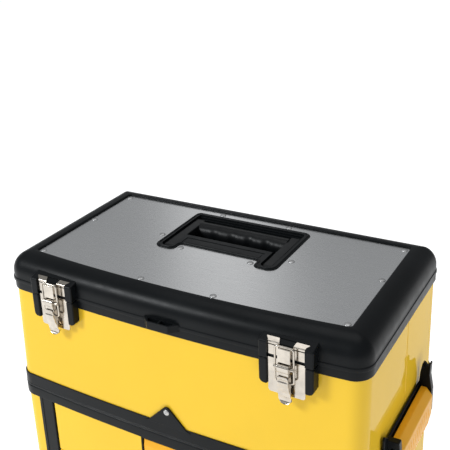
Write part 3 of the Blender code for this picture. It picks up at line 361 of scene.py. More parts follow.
def carved(mesh, *tools, operation="DIFFERENCE"):
    """The mesh with other meshes cut out of it."""
    target = to_object("carved", mesh)
    cutters = [to_object(f"tool_{n}", tool) for n, tool in enumerate(tools)]
    for cutter in cutters:
        step = target.modifiers.new("cut", "BOOLEAN")
        step.operation, step.object, step.solver = operation, cutter, "EXACT"
    graph = bpy.context.evaluated_depsgraph_get()
    shape = target.evaluated_get(graph).to_mesh()
    made = bmesh.new()
    made.from_mesh(shape)
    for old in (target, *cutters):
        data = old.data
        bpy.data.objects.remove(old)
        bpy.data.meshes.remove(data)
    bmesh.ops.remove_doubles(made, verts=made.verts, dist=2e-6)
    return made


def piece(name, mesh, paint, body, stands_for=(), sharp=36.0, soften=0.0, slot=None):
    """A finished piece of the visual model, on its body. Its slot (its finish's unless another is given) is
    looked up but not used.
    """
    slot = slot or SLOTS[paint.name]
    made = to_object(name, mesh)
    made.data.materials.append(paint)
    made.data.shade_smooth()
    if soften > 0:
        rounding = made.modifiers.new("rounding", "BEVEL")
        rounding.width = soften * MM
        rounding.segments = 2
        rounding.limit_method = "ANGLE"
        rounding.angle_limit = math.radians(sharp)
    else:
        made.data.set_sharp_from_angle(angle=math.radians(sharp))
    shading = made.modifiers.new("shading", "WEIGHTED_NORMAL")
    shading.keep_sharp = True
    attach(made, body)
    if stands_for:
        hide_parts(*stands_for)
    return made


# ---- finishes


class Finish:
    """A procedural material: each call adds one layer of detail. Scales are in features per metre."""

    def __init__(self, name, **values):
        self.material = bpy.data.materials.new(name)
        self.material.use_nodes = True
        self.tree = self.material.node_tree
        self.shader = self.tree.nodes["Principled BSDF"]
        for socket, value in values.items():
            self.shader.inputs[socket.replace("_", " ")].default_value = value
        self.place = self.tree.nodes.new("ShaderNodeTexCoord").outputs["Object"]
        self.normal = None

    def node(self, kind, **inputs):
        made = self.tree.nodes.new("ShaderNode" + kind)
        for socket, value in inputs.items():
            target = made.inputs[socket.replace("_", " ")]
            if isinstance(value, bpy.types.NodeSocket):
                self.tree.links.new(value, target)
            else:
                target.default_value = value
        return made

    def stretched(self, scale):
        """Object coordinates scaled separately along each axis."""
        made = self.node("Mapping", Vector=self.place)
        made.inputs["Scale"].default_value = scale
        return made.outputs["Vector"]

    def noise(self, scale, detail, vector=None, rough=0.5):
        return self.node("TexNoise", Vector=vector or self.place, Scale=scale, Detail=detail,
                         Roughness=rough).outputs["Fac"]

    def colours(self, amount, *stops):
        """The base colour from a ramp of (place, colour) stops."""
        ramp = self.node("ValToRGB", Fac=amount).color_ramp
        for n, (place, colour) in enumerate(stops):
            stop = ramp.elements[n] if n < 2 else ramp.elements.new(place)
            stop.position, stop.color = place, (*colour, 1.0)
        self.tree.links.new(self.tree.nodes[-1].outputs["Color"], self.shader.inputs["Base Color"])
        return self

    def roughness(self, amount, low, high):
        made = self.node("MapRange", Value=amount, From_Min=0.3, From_Max=0.7, To_Min=low, To_Max=high)
        self.tree.links.new(made.outputs["Result"], self.shader.inputs["Roughness"])
        return self

    def bump(self, height, depth, strength=1.0):
        """Relief of a depth in metres on top of what there is."""
        made = self.node("Bump", Height=height, Strength=strength, Distance=depth)
        if self.normal is not None:
            self.tree.links.new(self.normal, made.inputs["Normal"])
        self.normal = made.outputs["Normal"]
        self.tree.links.new(self.normal, self.shader.inputs["Normal"])
        return self


def tones(colour, spread):
    """A darker and a lighter tone of a colour."""
    return tuple(c * (1 - spread) for c in colour), tuple(min(c * (1 + spread), 1.0) for c in colour)


def moulded(name, colour, low, high, level, grain=1400.0, depth=2.2e-5, spread=0.12):
    """Injection-moulded plastic with a fine spark-eroded grain and faint flow marks."""
    made = Finish(name, Specular_IOR_Level=level)
    flow = made.noise(22.0, 4.0)
    dark, light = tones(colour, spread)
    made.colours(flow, (0.35, dark), (0.65, light))
    made.roughness(made.noise(60.0, 3.0), low, high)
    made.bump(made.noise(grain, 2.0), depth)
    made.bump(made.noise(35.0, 1.0), 6e-5, 0.4)
    return made.material


def enamel(name, colour):
    """Baked enamel on sheet steel: glossy, with a faint orange peel."""
    made = Finish(name, Coat_Weight=0.45, Coat_Roughness=0.03, Specular_IOR_Level=0.0)
    dark, light = tones(colour, 0.02)
    made.colours(made.noise(9.0, 3.0), (0.35, dark), (0.65, light))
    made.roughness(made.noise(45.0, 3.0), 0.28, 0.36)
    made.bump(made.noise(420.0, 2.0), 4e-6)
    made.bump(made.noise(5.0, 1.0), 1.2e-4, 0.2)
    return made.material


def plated(name, colour, low, high, haze):
    """Plated or bare metal with a soft pressed ripple and small changes of tone."""
    made = Finish(name, Metallic=1.0)
    dark, light = tones(colour, haze)
    made.colours(made.noise(90.0, 4.0), (0.3, dark), (0.7, light))
    made.roughness(made.noise(240.0, 4.0, rough=0.6), low, high)
    made.bump(made.noise(70.0, 1.5), 5e-5, 0.6)
    made.bump(made.noise(1500.0, 2.0), 4e-6)
    return made.material


def rolled_sheet(name, colour, low, high, across):
    """Rolled aluminium: a fine grain drawn out along the sheet."""
    made = Finish(name, Metallic=1.0, Anisotropic=0.25)
    drawn = made.noise(1.0, 5.0, made.stretched(across), 0.65)
    fine = made.noise(1900.0, 2.0)
    dark, light = tones(colour, 0.09)
    made.colours(fine, (0.3, dark), (0.7, light))
    made.roughness(drawn, low, high)
    made.bump(drawn, 1.2e-5, 0.5)
    made.bump(fine, 9e-6, 0.6)
    return made.material


def galvanised(name):
    """Zinc-coated steel with its spangle."""
    made = Finish(name, Metallic=1.0)
    spangle = made.node("TexVoronoi", Vector=made.place, Scale=110.0).outputs["Color"]
    grey = made.node("SeparateColor", Color=spangle).outputs["Red"]
    made.colours(grey, (0.0, (0.42, 0.43, 0.45)), (1.0, (0.60, 0.61, 0.63)))
    made.roughness(grey, 0.28, 0.42)
    made.bump(made.noise(900.0, 3.0), 8e-6)
    return made.material


def rubbery(name, colour, low, high):
    made = Finish(name, Specular_IOR_Level=0.35)
    dark, light = tones(colour, 0.25)
    made.colours(made.noise(50.0, 5.0), (0.35, dark), (0.7, light))
    made.roughness(made.noise(120.0, 4.0), low, high)
    made.bump(made.noise(700.0, 3.0), 6e-5)
    return made.material


# The paints, and the slot that each one fills
YELLOW = enamel("yellow_enamel_finish", (0.94, 0.6, 0.038))
BLACK = moulded("black_plastic_finish", (0.0062, 0.0074, 0.0084), 0.3, 0.38, level=0.12)
GRIP_BLACK = moulded("black_grip_finish", (0.0062, 0.0070, 0.0078), 0.34, 0.42, grain=700.0, depth=1.2e-5,
                     level=0.2)
ORANGE = moulded("orange_plastic_finish", (0.98, 0.47, 0.02), 0.3, 0.4, grain=1100.0, depth=1.0e-5, spread=0.02,
                 level=0.2)
ALUMINIUM = rolled_sheet("aluminium_sheet_finish", (0.76, 0.765, 0.77), 0.22, 0.3, (30.0, 900.0, 900.0))
RIVET = plated("rivet_finish", (0.5, 0.5, 0.5), 0.42, 0.52, haze=0.08)
NICKEL = plated("nickel_plate_finish", (0.53, 0.485, 0.425), 0.13, 0.24, haze=0.12)
STEEL = galvanised("zinc_steel_finish")
RUBBER = rubbery("rubber_finish", (0.02, 0.02, 0.021), 0.7, 0.9)
TYRE = rubbery("tyre_finish", (0.028, 0.028, 0.03), 0.62, 0.8)
SLOTS = {
    YELLOW.name: "yellow_enamel", BLACK.name: "black_plastic", GRIP_BLACK.name: "black_plastic",
    ORANGE.name: "orange_plastic", ALUMINIUM.name: "aluminium_sheet", RIVET.name: "aluminium_sheet",
    NICKEL.name: "nickel_plate", STEEL.name: "zinc_steel", RUBBER.name: "rubber", TYRE.name: "tyre",
}


# ---- lid


def lid_shell():
    """The border that rolls over the edge of the lid, and the deck under the plate."""
    wide, high, foot = 24.9, 24.6, LID_TOP - 24.6
    profile = raised(LID_SEAM, [(0.9, 0.3), (0.3, 0.5), (0.0, 1.1), (0.0, 4.0), (0.25, 4.8), (0.9, 5.3),
                                (1.1, 6.0)])
    profile += [(1.1 + wide - d, z) for d, z in quarter(foot, wide, high, 12)]
    outside = [LID.inset(d).level(z) for d, z in profile]
    pocket = PLATE.inset(-0.4)
    lip = raised(LID_TOP, [(1.7, 0.0), (0.9, -0.2), (0.3, -0.7), (0.0, -1.6)]) + [(0.0, PLATE_TOP - 1.8)]
    outside += [pocket.inset(-d).level(z) for d, z in lip]
    under = raised(LID_SEAM, [(24.0, 25.6), (14.0, 22.5), (7.0, 17.0), (3.6, 9.0), (3.6, 0.8), (3.1, 0.3)])
    inside = [LID.inset(d).level(z) for d, z in under]
    # this runs from the deck's underside out over the border, so the two caps are the deck's faces
    shell = skin(inside + outside)
    tools = [block((-88.0, 88.0), (-90.5, -12.0), (LID_SEAM - 5, LID_TOP + 5)),
             block((-88.0, -60.0), (-130.5, -80.0), (LID_SEAM + 13, LID_TOP + 5)),
             block((60.0, 88.0), (-130.5, -80.0), (LID_SEAM + 13, LID_TOP + 5))]
    for side in (-1, 1):
        tools.append(catch_notch(side * LATCH_X))
        for offset in (-KNUCKLE_PITCH, KNUCKLE_PITCH):
            near = side * KNUCKLE_X + offset
            tools.append(block((near - 6.5, near + 6.5), (27.5, 45.0), (590.0, LID_SEAM + 6.2)))
    piece("lid_border", carved(shell, *tools), BLACK, "lid", ("lid_shell",), sharp=32.0)


def catch_notch(x):
    """The room that a latch's catch plate sits in, spreading behind the fold."""
    profile = [(-262.0, 596.0), (-262.0, 626.0), (-244.6, 626.0), (-244.6, 619.0), (CHANNEL_FLOOR, 616.3),
               (CHANNEL_FLOOR, 596.0)]
    plan = [(CHANNEL_HALF, -270.0), (CHANNEL_HALF, CHANNEL_FLOOR), (CHANNEL_HALF + 3.5, -244.5)]
    plan = [(x + a, b) for a, b in plan] + [(x - a, b) for a, b in reversed(plan)]
    return carved(slab(profile, "X", x - HOLDER_HALF, x + HOLDER_HALF), slab(plan, "Z", 590.0, 630.0),
                  operation="INTERSECT")


def frame_outline(grow):
    """The stepped outline of the frame round the carry handle."""
    back, lobe, step, inner = -13.5 + grow, -130.0 - grow, -112.0 - grow, 57.0 - grow
    side = 88.0 + grow
    points = [(side, back), (-side, back), (-side, lobe), (-inner, lobe), (-inner, step), (inner, step),
              (inner, lobe), (side, lobe)]
    radii = [9.0 + grow, 9.0 + grow, 12.0 + grow, 9.0 + grow, 4.0 - grow, 4.0 - grow, 9.0 + grow, 12.0 + grow]
    return rounded(points, [max(r, 0.4) for r in radii], 7)


def handle_frame():
    """The moulded frame: a low flange on the plate, a raised bead, then the walls of the pocket."""
    top = LID_TOP - 0.2
    rings = raised(PLATE_TOP, [(0.0, -5.5), (0.0, -1.6), (0.0, 0.5), (-0.3, 0.9), (-1.3, 1.0), (-1.8, 1.2)])
    rings += raised(top, [(-2.0, -0.5), (-2.5, 0.0), (-3.7, 0.0), (-4.1, -0.4), (-4.4, -0.9), (-5.2, -0.9)])
    body = skin([lifted(frame_outline(grow), z) for grow, z in rings])
    well = rounded(rect((-81.0, 81.0), (-20.0, -85.0)), [5.0, 5.0, 0.0, 0.0], 5)
    tools = [slab(well, "Z", 590.0, 640.0)]
    for side in (-1, 1):
        inner, outer = ARM_INNER - 1.6, ARM_OUTER + 1.6
        near, far = side * inner, side * outer
        arm = rounded([(near, -80.0), (near, -124.2), (far, -124.2), (far, -80.0)], [0.0, 7.0, 7.0, 0.0], 7)
        tools.append(slab(arm, "Z", 590.0, 640.0))
    # the long panel pressed into the platform, with a second step inside it
    tools.append(block((-58.0, 58.0), (-108.5, -92.5), (top - 1.5, 640.0), 0.0, 2.0))
    piece("handle_frame", carved(body, *tools), BLACK, "lid", ("lid_shell",), sharp=30.0, soften=0.35)
    panel = block((-55.4, 55.4), (-106.2, -94.8), (top - 2.4, top - 1.0), 0.5, 1.4)
    piece("handle_frame_panel", panel, BLACK, "lid", sharp=40.0)


def handle_well():
    """The tub under the grip, with the stepped ledges behind it, and the two arm channels."""
    floor, wall, deck = WELL_FLOOR, 2.4, PLATE_TOP - 1.9
    outer = rounded(rect((-85.4, 85.4), (-16.6, -88.4)), 7.0, 5)
    inner = rounded(rect((-81.0, 81.0), (-20.0, -85.5)), 4.0, 5)

    profile = [(outer, floor - wall, 2.0), (outer, floor - wall + 2.5, 0.0), (outer, deck, 0.0),
               (inner, deck, 0.0), (inner, floor + 3.0, 0.4), (inner, floor + 0.8, 1.4), (inner, floor, 4.0)]
    tub = skin([lifted(shrunk(outline, draft), z) for outline, z, draft in profile])
    channels, gutters = [], []
    for side in (-1, 1):
        low, high = side * (ARM_INNER - 1.4), side * (ARM_OUTER + 1.4)
        channels.append(block((low, high), (-126.0, -83.0), (617.0, LID_TOP)))
        low, high = side * (ARM_INNER - 4.0), side * (ARM_OUTER + 4.0)
        gutters.append(block((low, high), (-128.6, -84.0), (614.8, deck - 0.2), 0.0, 6.0))
    body = carved(tub, *[channel.copy() for channel in channels])
    piece("handle_well", body, BLACK, "lid", sharp=34.0)
    for n, (gutter, channel) in enumerate(zip(gutters, channels)):
        piece(f"handle_channel_{'lr'[n]}", carved(gutter, channel), BLACK, "lid", sharp=34.0)
    for n, (y, z) in enumerate(((-22.4, LID_TOP - 3.4), (-24.6, LID_TOP - 6.0), (-26.8, LID_TOP - 8.8))):
        ledge = block((-80.6, 80.6), (y, -19.8), (z - 2.6, z), 0.4, 0.4, "Y")
        piece(f"well_ledge_{n}", ledge, BLACK, "lid", sharp=40.0)


def lid_plate():
    """The metal plate round the handle's frame, and its rivets."""
    under = PLATE_TOP - SHEET
    rings = [PLATE.inset(0.25).level(under), PLATE.level(under + 0.2), PLATE.level(PLATE_TOP - 0.25),
             PLATE.inset(0.25).level(PLATE_TOP)]
    hole = slab(frame_outline(GAP), "Z", 600.0, 650.0)
    piece("lid_plate_sheet", carved(skin(rings), hole), ALUMINIUM, "lid", ("lid_plate",), sharp=30.0)
    places = [(211.0, -8.0), (211.5, -94.6), (211.0, -204.0), (50.5, -213.0), (95.5, -96.0), (51.0, -121.0),
              (51.0, -7.0)]
    head = [(0.0, 0.02), (0.0, 4.0), (0.2, 4.15), (0.6, 3.95), (1.0, 3.3), (1.3, 2.2), (1.42, 1.1),
            (1.45, 0.02)]
    for n, (x, y) in enumerate(places):
        for side in (-1, 1):
            rivet = lathe(head, "Z", (side * x, y, PLATE_TOP), 28)
            piece(f"plate_rivet_{n}{'lr'[side > 0]}", rivet, RIVET, "lid", sharp=50.0)


def lid_details():
    """The catch blocks over the latches, the finger tab, the hinge knuckles and ribs under the lid."""
    for side in (-1, 1):
        tag, x = "lr"[side > 0], side * LATCH_X
        foot = LID_SEAM + GAP
        profile = rounded([(HOLDER_FRONT, foot), (HOLDER_FRONT, 618.2), (-234.5, 622.5), (-237.5, 617.0),
                           (-240.3, 609.0), (-241.5, foot)], (0.8, 3.0, 0.0, 0.0, 0.0, 0.0), 6)
        shape = slab(profile, "X", x - HOLDER_HALF, x + HOLDER_HALF, 1.8, 4)
        piece(f"catch_block_{tag}", carved(shape, catch_notch(x)), BLACK, "lid", ("lid_shell",),
              sharp=34.0)

        knuckle = lathe([(-9.3, 2.5), (-9.3, 4.6), (-8.9, 5.0), (8.9, 5.0), (9.3, 4.6), (9.3, 2.5)], "X",
                        (side * KNUCKLE_X, *HINGE_AXIS), 32, loop=True)
        web = [(HINGE_AXIS[0] - 4.9, 601.8), (HINGE_AXIS[0] + 4.2, 602.8), (HINGE_AXIS[0] + 2.0, 604.6),
               (HINGE_AXIS[0] - 4.0, 606.0), (25.6, 606.0), (25.6, 601.8)]
        web = slab(web, "X", side * KNUCKLE_X - 8.9, side * KNUCKLE_X + 8.9, 0.4)
        piece(f"lid_knuckle_{tag}", merged(knuckle, web), BLACK, "lid")

    wall_y, back_half, front_half, front_y = RIM.front_at(0.0) - 2 * GAP, 25.0, 14.5, -257.6
    shelf = rounded([(-back_half, wall_y), (-front_half, front_y), (front_half, front_y), (back_half, wall_y)],
                    (0.6, 2.2, 2.2, 0.6), 4)
    shelf = slab(shelf, "Z", 594.5, 604.0, 0.5, 2)
    pockets = []
    for side in (-1, 1):
        near, far = front_y + 1.8, wall_y - 1.8
        pocket = mirrored(side, [(1.2, near), (front_half - 0.8, near), (back_half - 6.6, far), (1.2, far)])
        pockets.append(slab(rounded(pocket, 0.7, 3), "Z", 596.5, 608.0))
    root = block((-23.5, 23.5), (wall_y - 1.2, wall_y + 3.0), (600.9, 603.5), 0.3)
    piece("finger_tab", merged(carved(shelf, *pockets), root), BLACK, "lid", sharp=40.0)
    tall = (620.0, 626.4)
    ribs = [block((x - 1.0, x + 1.0), (-226.0, 20.0), tall, 0.3) for x in (-150.0, -105.0, 105.0, 150.0)]
    ribs += [block((-212.0, 212.0), (y - 1.0, y + 1.0), tall, 0.3) for y in (-170.0, -140.0)]
    piece("lid_ribs", merged(*ribs), BLACK, "lid")


def carry_handle():
    """The bail: flat arms on their pivots, and a round grip with finger scallops along its front."""
    y, z = GRIP
    rings = []
    steps, sides = 96, 40
    reach = ARM_INNER + 0.6
    for i in range(steps + 1):
        x = -reach + 2 * reach * i / steps
        # soft finger lobes of uneven height, each with a small dimple
        turn = 2 * math.pi * x / FINGER_PITCH
        wave = 0.5 - 0.5 * math.cos(turn) + 0.22 * math.cos(2 * turn)
        wave *= 1.0 + 0.25 * math.sin(x / 17.0)
        fade = min(1.0, (60.0 - abs(x)) / 8.0) if abs(x) < 60.0 else 0.0
        ring = []
        for k in range(sides):
            angle = 2 * math.pi * k / sides
            # the scallops face forwards and down, and fade out towards the smooth top
            facing = max(0.0, math.cos(angle - math.radians(196))) ** 1.3
            radius = GRIP_RADIUS - 1.7 * wave * fade * facing
            ring.append((x, y + radius * math.cos(angle), z + radius * math.sin(angle)))
        rings.append(ring)
    grip = skin(rings)
    arms = []
    for side in (-1, 1):
        arm = rounded([(GRIP[0] + 12.6, 616.0), (GRIP[0] + 12.6, 629.4), (HANDLE_AXIS[0] - 6.0, 629.4),
                       (HANDLE_AXIS[0] - 6.0, 619.2), (GRIP[0] - 16.0, 619.2), (GRIP[0] - 9.0, 608.0),
                       (GRIP[0] + 8.0, 608.0)], (7.0, 3.0, 4.5, 4.5, 6.0, 6.0, 6.0), 5)
        arms.append(slab(arm, "X", side * ARM_INNER, side * (ARM_OUTER - 0.2), 1.1, 3))
        pin = [(-4.3, 2.6), (-3.9, 3.0), (3.9, 3.0), (4.3, 2.6)]
        arms.append(lathe(pin, "X", (side * (ARM_OUTER - 2.0), *HANDLE_AXIS), 24))
    piece("carry_handle_grip", merged(grip, *arms), GRIP_BLACK, "carry_handle", ("carry_handle",),
          sharp=38.0)


# ---- toggle latches


def strap(path, thick):
    """A folded strip of sheet along a path of (y, z, near x, far x) stations, thick behind its face."""
    rings = []
    for i, (y, z, near, far) in enumerate(path):
        ahead = Vector(path[min(i + 1, len(path) - 1)][:2]) - Vector(path[max(i - 1, 0)][:2])
        back = Vector((ahead.y, -ahead.x)).normalized() * thick
        rings.append([(near, y, z), (far, y, z), (far, y + back.x, z + back.y), (near, y + back.x, z + back.y)])
    return skin(rings)


def catch_plate(x):
    """The lid's half of a latch: a folded plate with two tabs, and the block that the wire hooks over."""
    front, fold = LATCH_FRONT, CATCH_FOLD
    wide, thick = (x - LATCH_HALF, x + LATCH_HALF), (front, front + LATCH_SHEET)
    face = block(wide, thick, (601.5, fold - 2.4), 0.3, 0.5, "Y")
    tabs = []
    for s in (-1, 1):
        stations = [(front, fold - 4.0, 7.8, 22.0), (front, fold - 1.0, 7.9, 22.0),
                    (front + 0.3, fold - 0.2, 8.1, 22.1), (front + 0.9, fold + 0.4, 8.4, 22.4),
                    (-246.0, 620.05, 9.8, 25.0), (-245.5, 620.3, 10.4, 24.6)]
        tabs.append(strap([(y, z, x + s * near, x + s * far) for y, z, near, far in stations], LATCH_SHEET))
    hook = block((x - HOOK_HALF, x + HOOK_HALF), (HOOK_FRONT, front + 0.4), (598.1, 615.9), 0.7, 0.9, "X")
    room_half = HOOK_HALF - 1.1
    room = block((x - room_half, x + room_half), (HOOK_FRONT + LATCH_SHEET, front - 0.5), (590.0, 614.6))
    return merged(face, *tabs, carved(hook, room))


def base_plate(x):
    """The box's half: a flat plate with two ears for the lever."""
    face = rounded(rect((x - LATCH_HALF, x + LATCH_HALF), (554.0, 597.8)), (3.5, 3.5, 0.8, 0.8), 7)
    plate = slab(face, "Y", LATCH_FRONT, LATCH_FRONT + LATCH_SHEET, 0.35)
    ear = rounded([(LATCH_FRONT + 0.6, 585.0), (-260.6, 589.0), (-260.6, 596.2), (LATCH_FRONT + 0.6, 597.5)],
                  (0.0, 3.0, 3.0, 0.0), 6)
    ears = [slab(ear, "X", x + s * (LEVER_HALF + 0.5), x + s * (LEVER_HALF + 1.5), 0.2) for s in (-1, 1)]
    bore = lathe([(-12.0, 1.9), (12.0, 1.9)], "X", (x, *LEVER_AXIS), 24)
    return carved(merged(plate, *ears), bore)


def tongue_line(z):
    """How far out the tongue's face is at a height: down from the knuckle, in to the wall, out at the tip."""
    stations = ((583.6, -261.6), (581.0, -262.4), (577.0, -262.2), (569.0, -260.4), (560.0, -258.0),
                (553.5, -256.5), (550.0, -256.4), (546.4, -257.8))
    for (high, out), (low, next_out) in zip(stations, stations[1:]):
        if z >= low:
            share = (high - z) / (high - low)
            return out + (next_out - out) * share * share * (3 - 2 * share)
    return stations[-1][1]


def tongue(x):
    """The finger tongue: a channel with folded sides, dished below the knuckle and flared at its tip."""
    top, tip, end_depth = 583.6, 546.4, 6.5
    across, along = 18, 40
    made = bmesh.new()
    rows = []
    for j in range(along + 1):
        z = top - (top - tip) * j / along
        wide = LEVER_HALF - 0.3 + 1.0 * min(max((574.0 - z) / 20.0, 0.0), 1.0)
        near_tip, near_top = max(0.0, (tip + end_depth - z) / end_depth), max(0.0, (z - top + 2.2) / 2.2)
        wide *= math.sqrt(max(1.0 - near_tip ** 2.0, 0.004)) * (1.0 - 0.25 * near_top ** 2)
        side_depth = 4.2 * min(max((z - 556.0) / 12.0, 0.0), 1.0) + 0.5
        dish = 1.5 * math.exp(-(((z - 578.6) / 2.3) ** 2)) + 0.9 * math.exp(-(((z - 551.0) / 3.4) ** 2))
        row = []
        for i in range(across + 1):
            u = 2 * i / across - 1
            fold = side_depth * max(0.0, (abs(u) - 0.62) / 0.38) ** 2.2
            out = tongue_line(z) + fold + dish * (1 - abs(u) ** 2.5)
            bulge = math.sin(min(abs(u) / 0.8, 1.0) * math.pi / 2)
            row.append(made.verts.new(at(x + math.copysign(wide * bulge, u), out, z)))
        rows.append(row)
    for high, low in zip(rows, rows[1:]):
        for i in range(across):
            made.faces.new((high[i], high[i + 1], low[i + 1], low[i]))
    bmesh.ops.recalc_face_normals(made, faces=made.faces)
    bmesh.ops.solidify(made, geom=made.faces[:], thickness=0.8 * MM)
    return made


def lever(x):
    """The finger lever: the knuckle on its pin, the neck, the sides with the wire's bores, and the tongue."""
    y, z = LEVER_AXIS
    knuckle = rounded(around(y, z, 4.85), 3.4, 7)
    knuckle = slab(knuckle, "X", x - LEVER_HALF, x + LEVER_HALF, 0.5, 3)
    neck = [(-260.6, 589.5), (-260.2, 582.4), (-255.0, 580.4), (-254.8, 589.5)]
    neck = rounded(neck, (0.5, 1.0, 1.0, 0.5), 3)
    neck = slab(neck, "X", x - LEVER_HALF + 0.7, x + LEVER_HALF - 0.7, 0.3)
    cheek = [(-254.0, 583.0), (-260.6, 583.0), (-260.6, 576.0), (-258.6, 567.0), (-253.6, 567.0)]
    cheek = rounded(cheek, 1.0, 3)
    cheeks = [slab(cheek, "X", x + s * (LEVER_HALF - 1.1), x + s * (LEVER_HALF - 0.2), 0.2) for s in (-1, 1)]
    bore = lathe([(-12.0, 1.5), (12.0, 1.5)], "X", (x, *BAIL_AXIS), 20)
    pin = lathe([(-8.7, 1.0), (-8.5, 1.5), (8.5, 1.5), (8.7, 1.0)], "X", (x, *LEVER_AXIS), 20)
    return merged(knuckle, neck, carved(merged(*cheeks), bore), tongue(x), pin)


def bail(x):
    """The wire loop over the hook."""
    top_y, top_z = -256.4, 617.4
    y, z = BAIL_AXIS
    leg = x - BAIL_HALF
    half = [(x - 4.2, y, z), (leg, y, z), (leg, top_y, top_z - 9.0), (leg, top_y, top_z), (x, top_y, top_z)]
    path = bent(half, 3.2, 6)
    path += [(2 * x - a, b, c) for a, b, c in reversed(path[:-1])]
    return tube(path, WIRE_RADIUS, 16)


def toggle_latches():
    for side in (-1, 1):
        tag, x = "lr"[side > 0], side * LATCH_X
        for name, node, mesh, body in (
            ("catch_plate", "latch_catch", catch_plate(x), "lid"),
            ("base_plate", "latch_base", base_plate(x), "top_box"),
            ("lever", "latch_lever", lever(x), f"latch_lever_{tag}"),
            ("bail", "latch_bail", bail(x), f"latch_bail_{tag}"),
        ):
            piece(f"{name}_{tag}", mesh, NICKEL, body, (f"{node}_{tag}",), sharp=42.0)


# ---- top box


def top_box():
    """The yellow box itself, the black rim round its head, and what stands on them."""
    low = BAND_FOOT + 2.4
    outside = [BOX_FOOT.inset(1.2).level(low), BOX_FOOT.inset(0.3).level(low + 0.4),
               BOX_FOOT.level(low + 1.4), BOX_FOOT.level(BAND_TOP), BOX_TOP.level(WALL_HEAD)]
    wall = BOX_FOOT.inset(SHEET)
    inside = [BOX_TOP.inset(SHEET).level(WALL_HEAD), wall.level(BAND_TOP), wall.level(low + SHEET + 1.0),
              wall.inset(1.2).level(low + SHEET)]
    piece("top_box_body", skin(outside + inside), YELLOW, "top_box", ("top_box_shell",), sharp=40.0)

    top = LID_SEAM - GAP
    rim = raised(RIM_FOOT, [(1.2, 0.0), (0.4, 0.3), (0.0, 1.1)]) + [(0.0, 597.6), (0.3, 598.8)]
    rim += raised(top, [(1.0, -0.2), (1.6, 0.0), (8.6, 0.0), (9.0, -0.4)])
    rim += raised(WALL_HEAD, [(9.0, 0.8), (8.8, 0.5), (2.6, 0.5), (2.3, 0.0)])
    rim += raised(RIM_FOOT, [(2.3, 0.3), (2.0, 0.0)])
    piece("rim_moulding", sweep(RIM, rim), BLACK, "top_box", ("top_box_rim",), sharp=34.0)
    for side in (-1, 1):
        holder(side, top)
        rim_knuckles(side)
    band_and_tab()
    side_seam()


def holder(side, top):
    """The block on the rim round a latch's lower plate."""
    tag, x = "lr"[side > 0], side * LATCH_X
    parts = []
    for s in (-1, 1):
        inner, outer = x + s * CHANNEL_HALF, x + s * HOLDER_HALF
        face = rounded(rect((inner, outer), (HOLDER_FOOT, top)), (1.8, 6.0, 1.8, 1.8), 7)
        wall = BOX_TOP.front_at(inner if abs(inner) > abs(outer) else outer)
        parts.append(slab(face, "Y", HOLDER_FRONT, wall + 0.8, 1.7, 4))
    seat_x = (x - CHANNEL_HALF - 2.0, x + CHANNEL_HALF + 2.0)
    wall = BOX_TOP.front_at(x + side * CHANNEL_HALF)
    parts.append(block(seat_x, (CHANNEL_FLOOR, wall + 0.8), (HOLDER_FOOT, top), 0.4, 0.6, "Y"))
    piece(f"latch_holder_{tag}", merged(*parts), BLACK, "top_box", ("top_box_rim",), sharp=38.0)


def rim_knuckles(side):
    """The box's half of a lid hinge: two knuckles and their webs."""
    tag = "lr"[side > 0]
    parts = []
    for offset in (-KNUCKLE_PITCH, KNUCKLE_PITCH):
        x = side * KNUCKLE_X + offset
        parts.append(lathe([(-6.0, 2.5), (-6.0, 4.6), (-5.6, 5.0), (5.6, 5.0), (6.0, 4.6), (6.0, 2.5)], "X",
                           (x, *HINGE_AXIS), 32, loop=True))
        web = [(26.6, 589.0), (29.5, 589.0), (HINGE_AXIS[0] + 3.5, 597.0), (HINGE_AXIS[0] - 4.6, 599.0),
               (26.6, 598.0)]
        parts.append(slab(web, "X", x - 5.6, x + 5.6, 0.4))
    piece(f"rim_knuckle_{tag}", merged(*parts), BLACK, "top_box", ("top_box_rim",), sharp=40.0)


def band_and_tab():
    """The black band at the box's foot, with its pointed tab and the rivet in it."""
    low = BAND_FOOT + GAP
    band = raised(low, [(1.0, 0.0), (0.3, 0.2), (0.0, 0.9), (0.0, 2.6), (0.35, 3.0)])
    band += raised(BAND_TOP, [(0.35, -1.2), (0.6, -0.4), (1.1, 0.0), (1.7, 0.0), (1.9, -0.3)])
    band += raised(low, [(1.9, 2.0), (2.4, 1.8), (15.6, 1.8), (16.0, 1.4), (16.0, 0.0)])
    piece("band_moulding", sweep(BAND, band), BLACK, "top_box", ("top_box_band",), sharp=30.0)
    front = BAND.front_at(0.0)
    tab = rounded([(-33.0, BAND_TOP - 3.0), (33.0, BAND_TOP - 3.0), (27.0, BAND_TOP - 0.6), (0.0, 486.5),
                   (-27.0, BAND_TOP - 0.6)], (0.0, 0.0, 6.0, 5.0, 6.0), 7)
    piece("band_tab", slab(tab, "Y", front - 0.2, front + 1.7, 0.5, 3), BLACK, "top_box")
    head = [(0.0, 3.9), (-0.5, 3.8), (-1.0, 3.1), (-1.3, 2.1), (-1.35, 1.5), (-1.0, 1.2), (-0.6, 0.03)]
    rivet = lathe(head, "Y", (0.0, front - 0.2, 477.0), 28)
    piece("tab_rivet", rivet, RIVET, "top_box", ("band_rivet",), sharp=50.0, slot="nickel_plate")


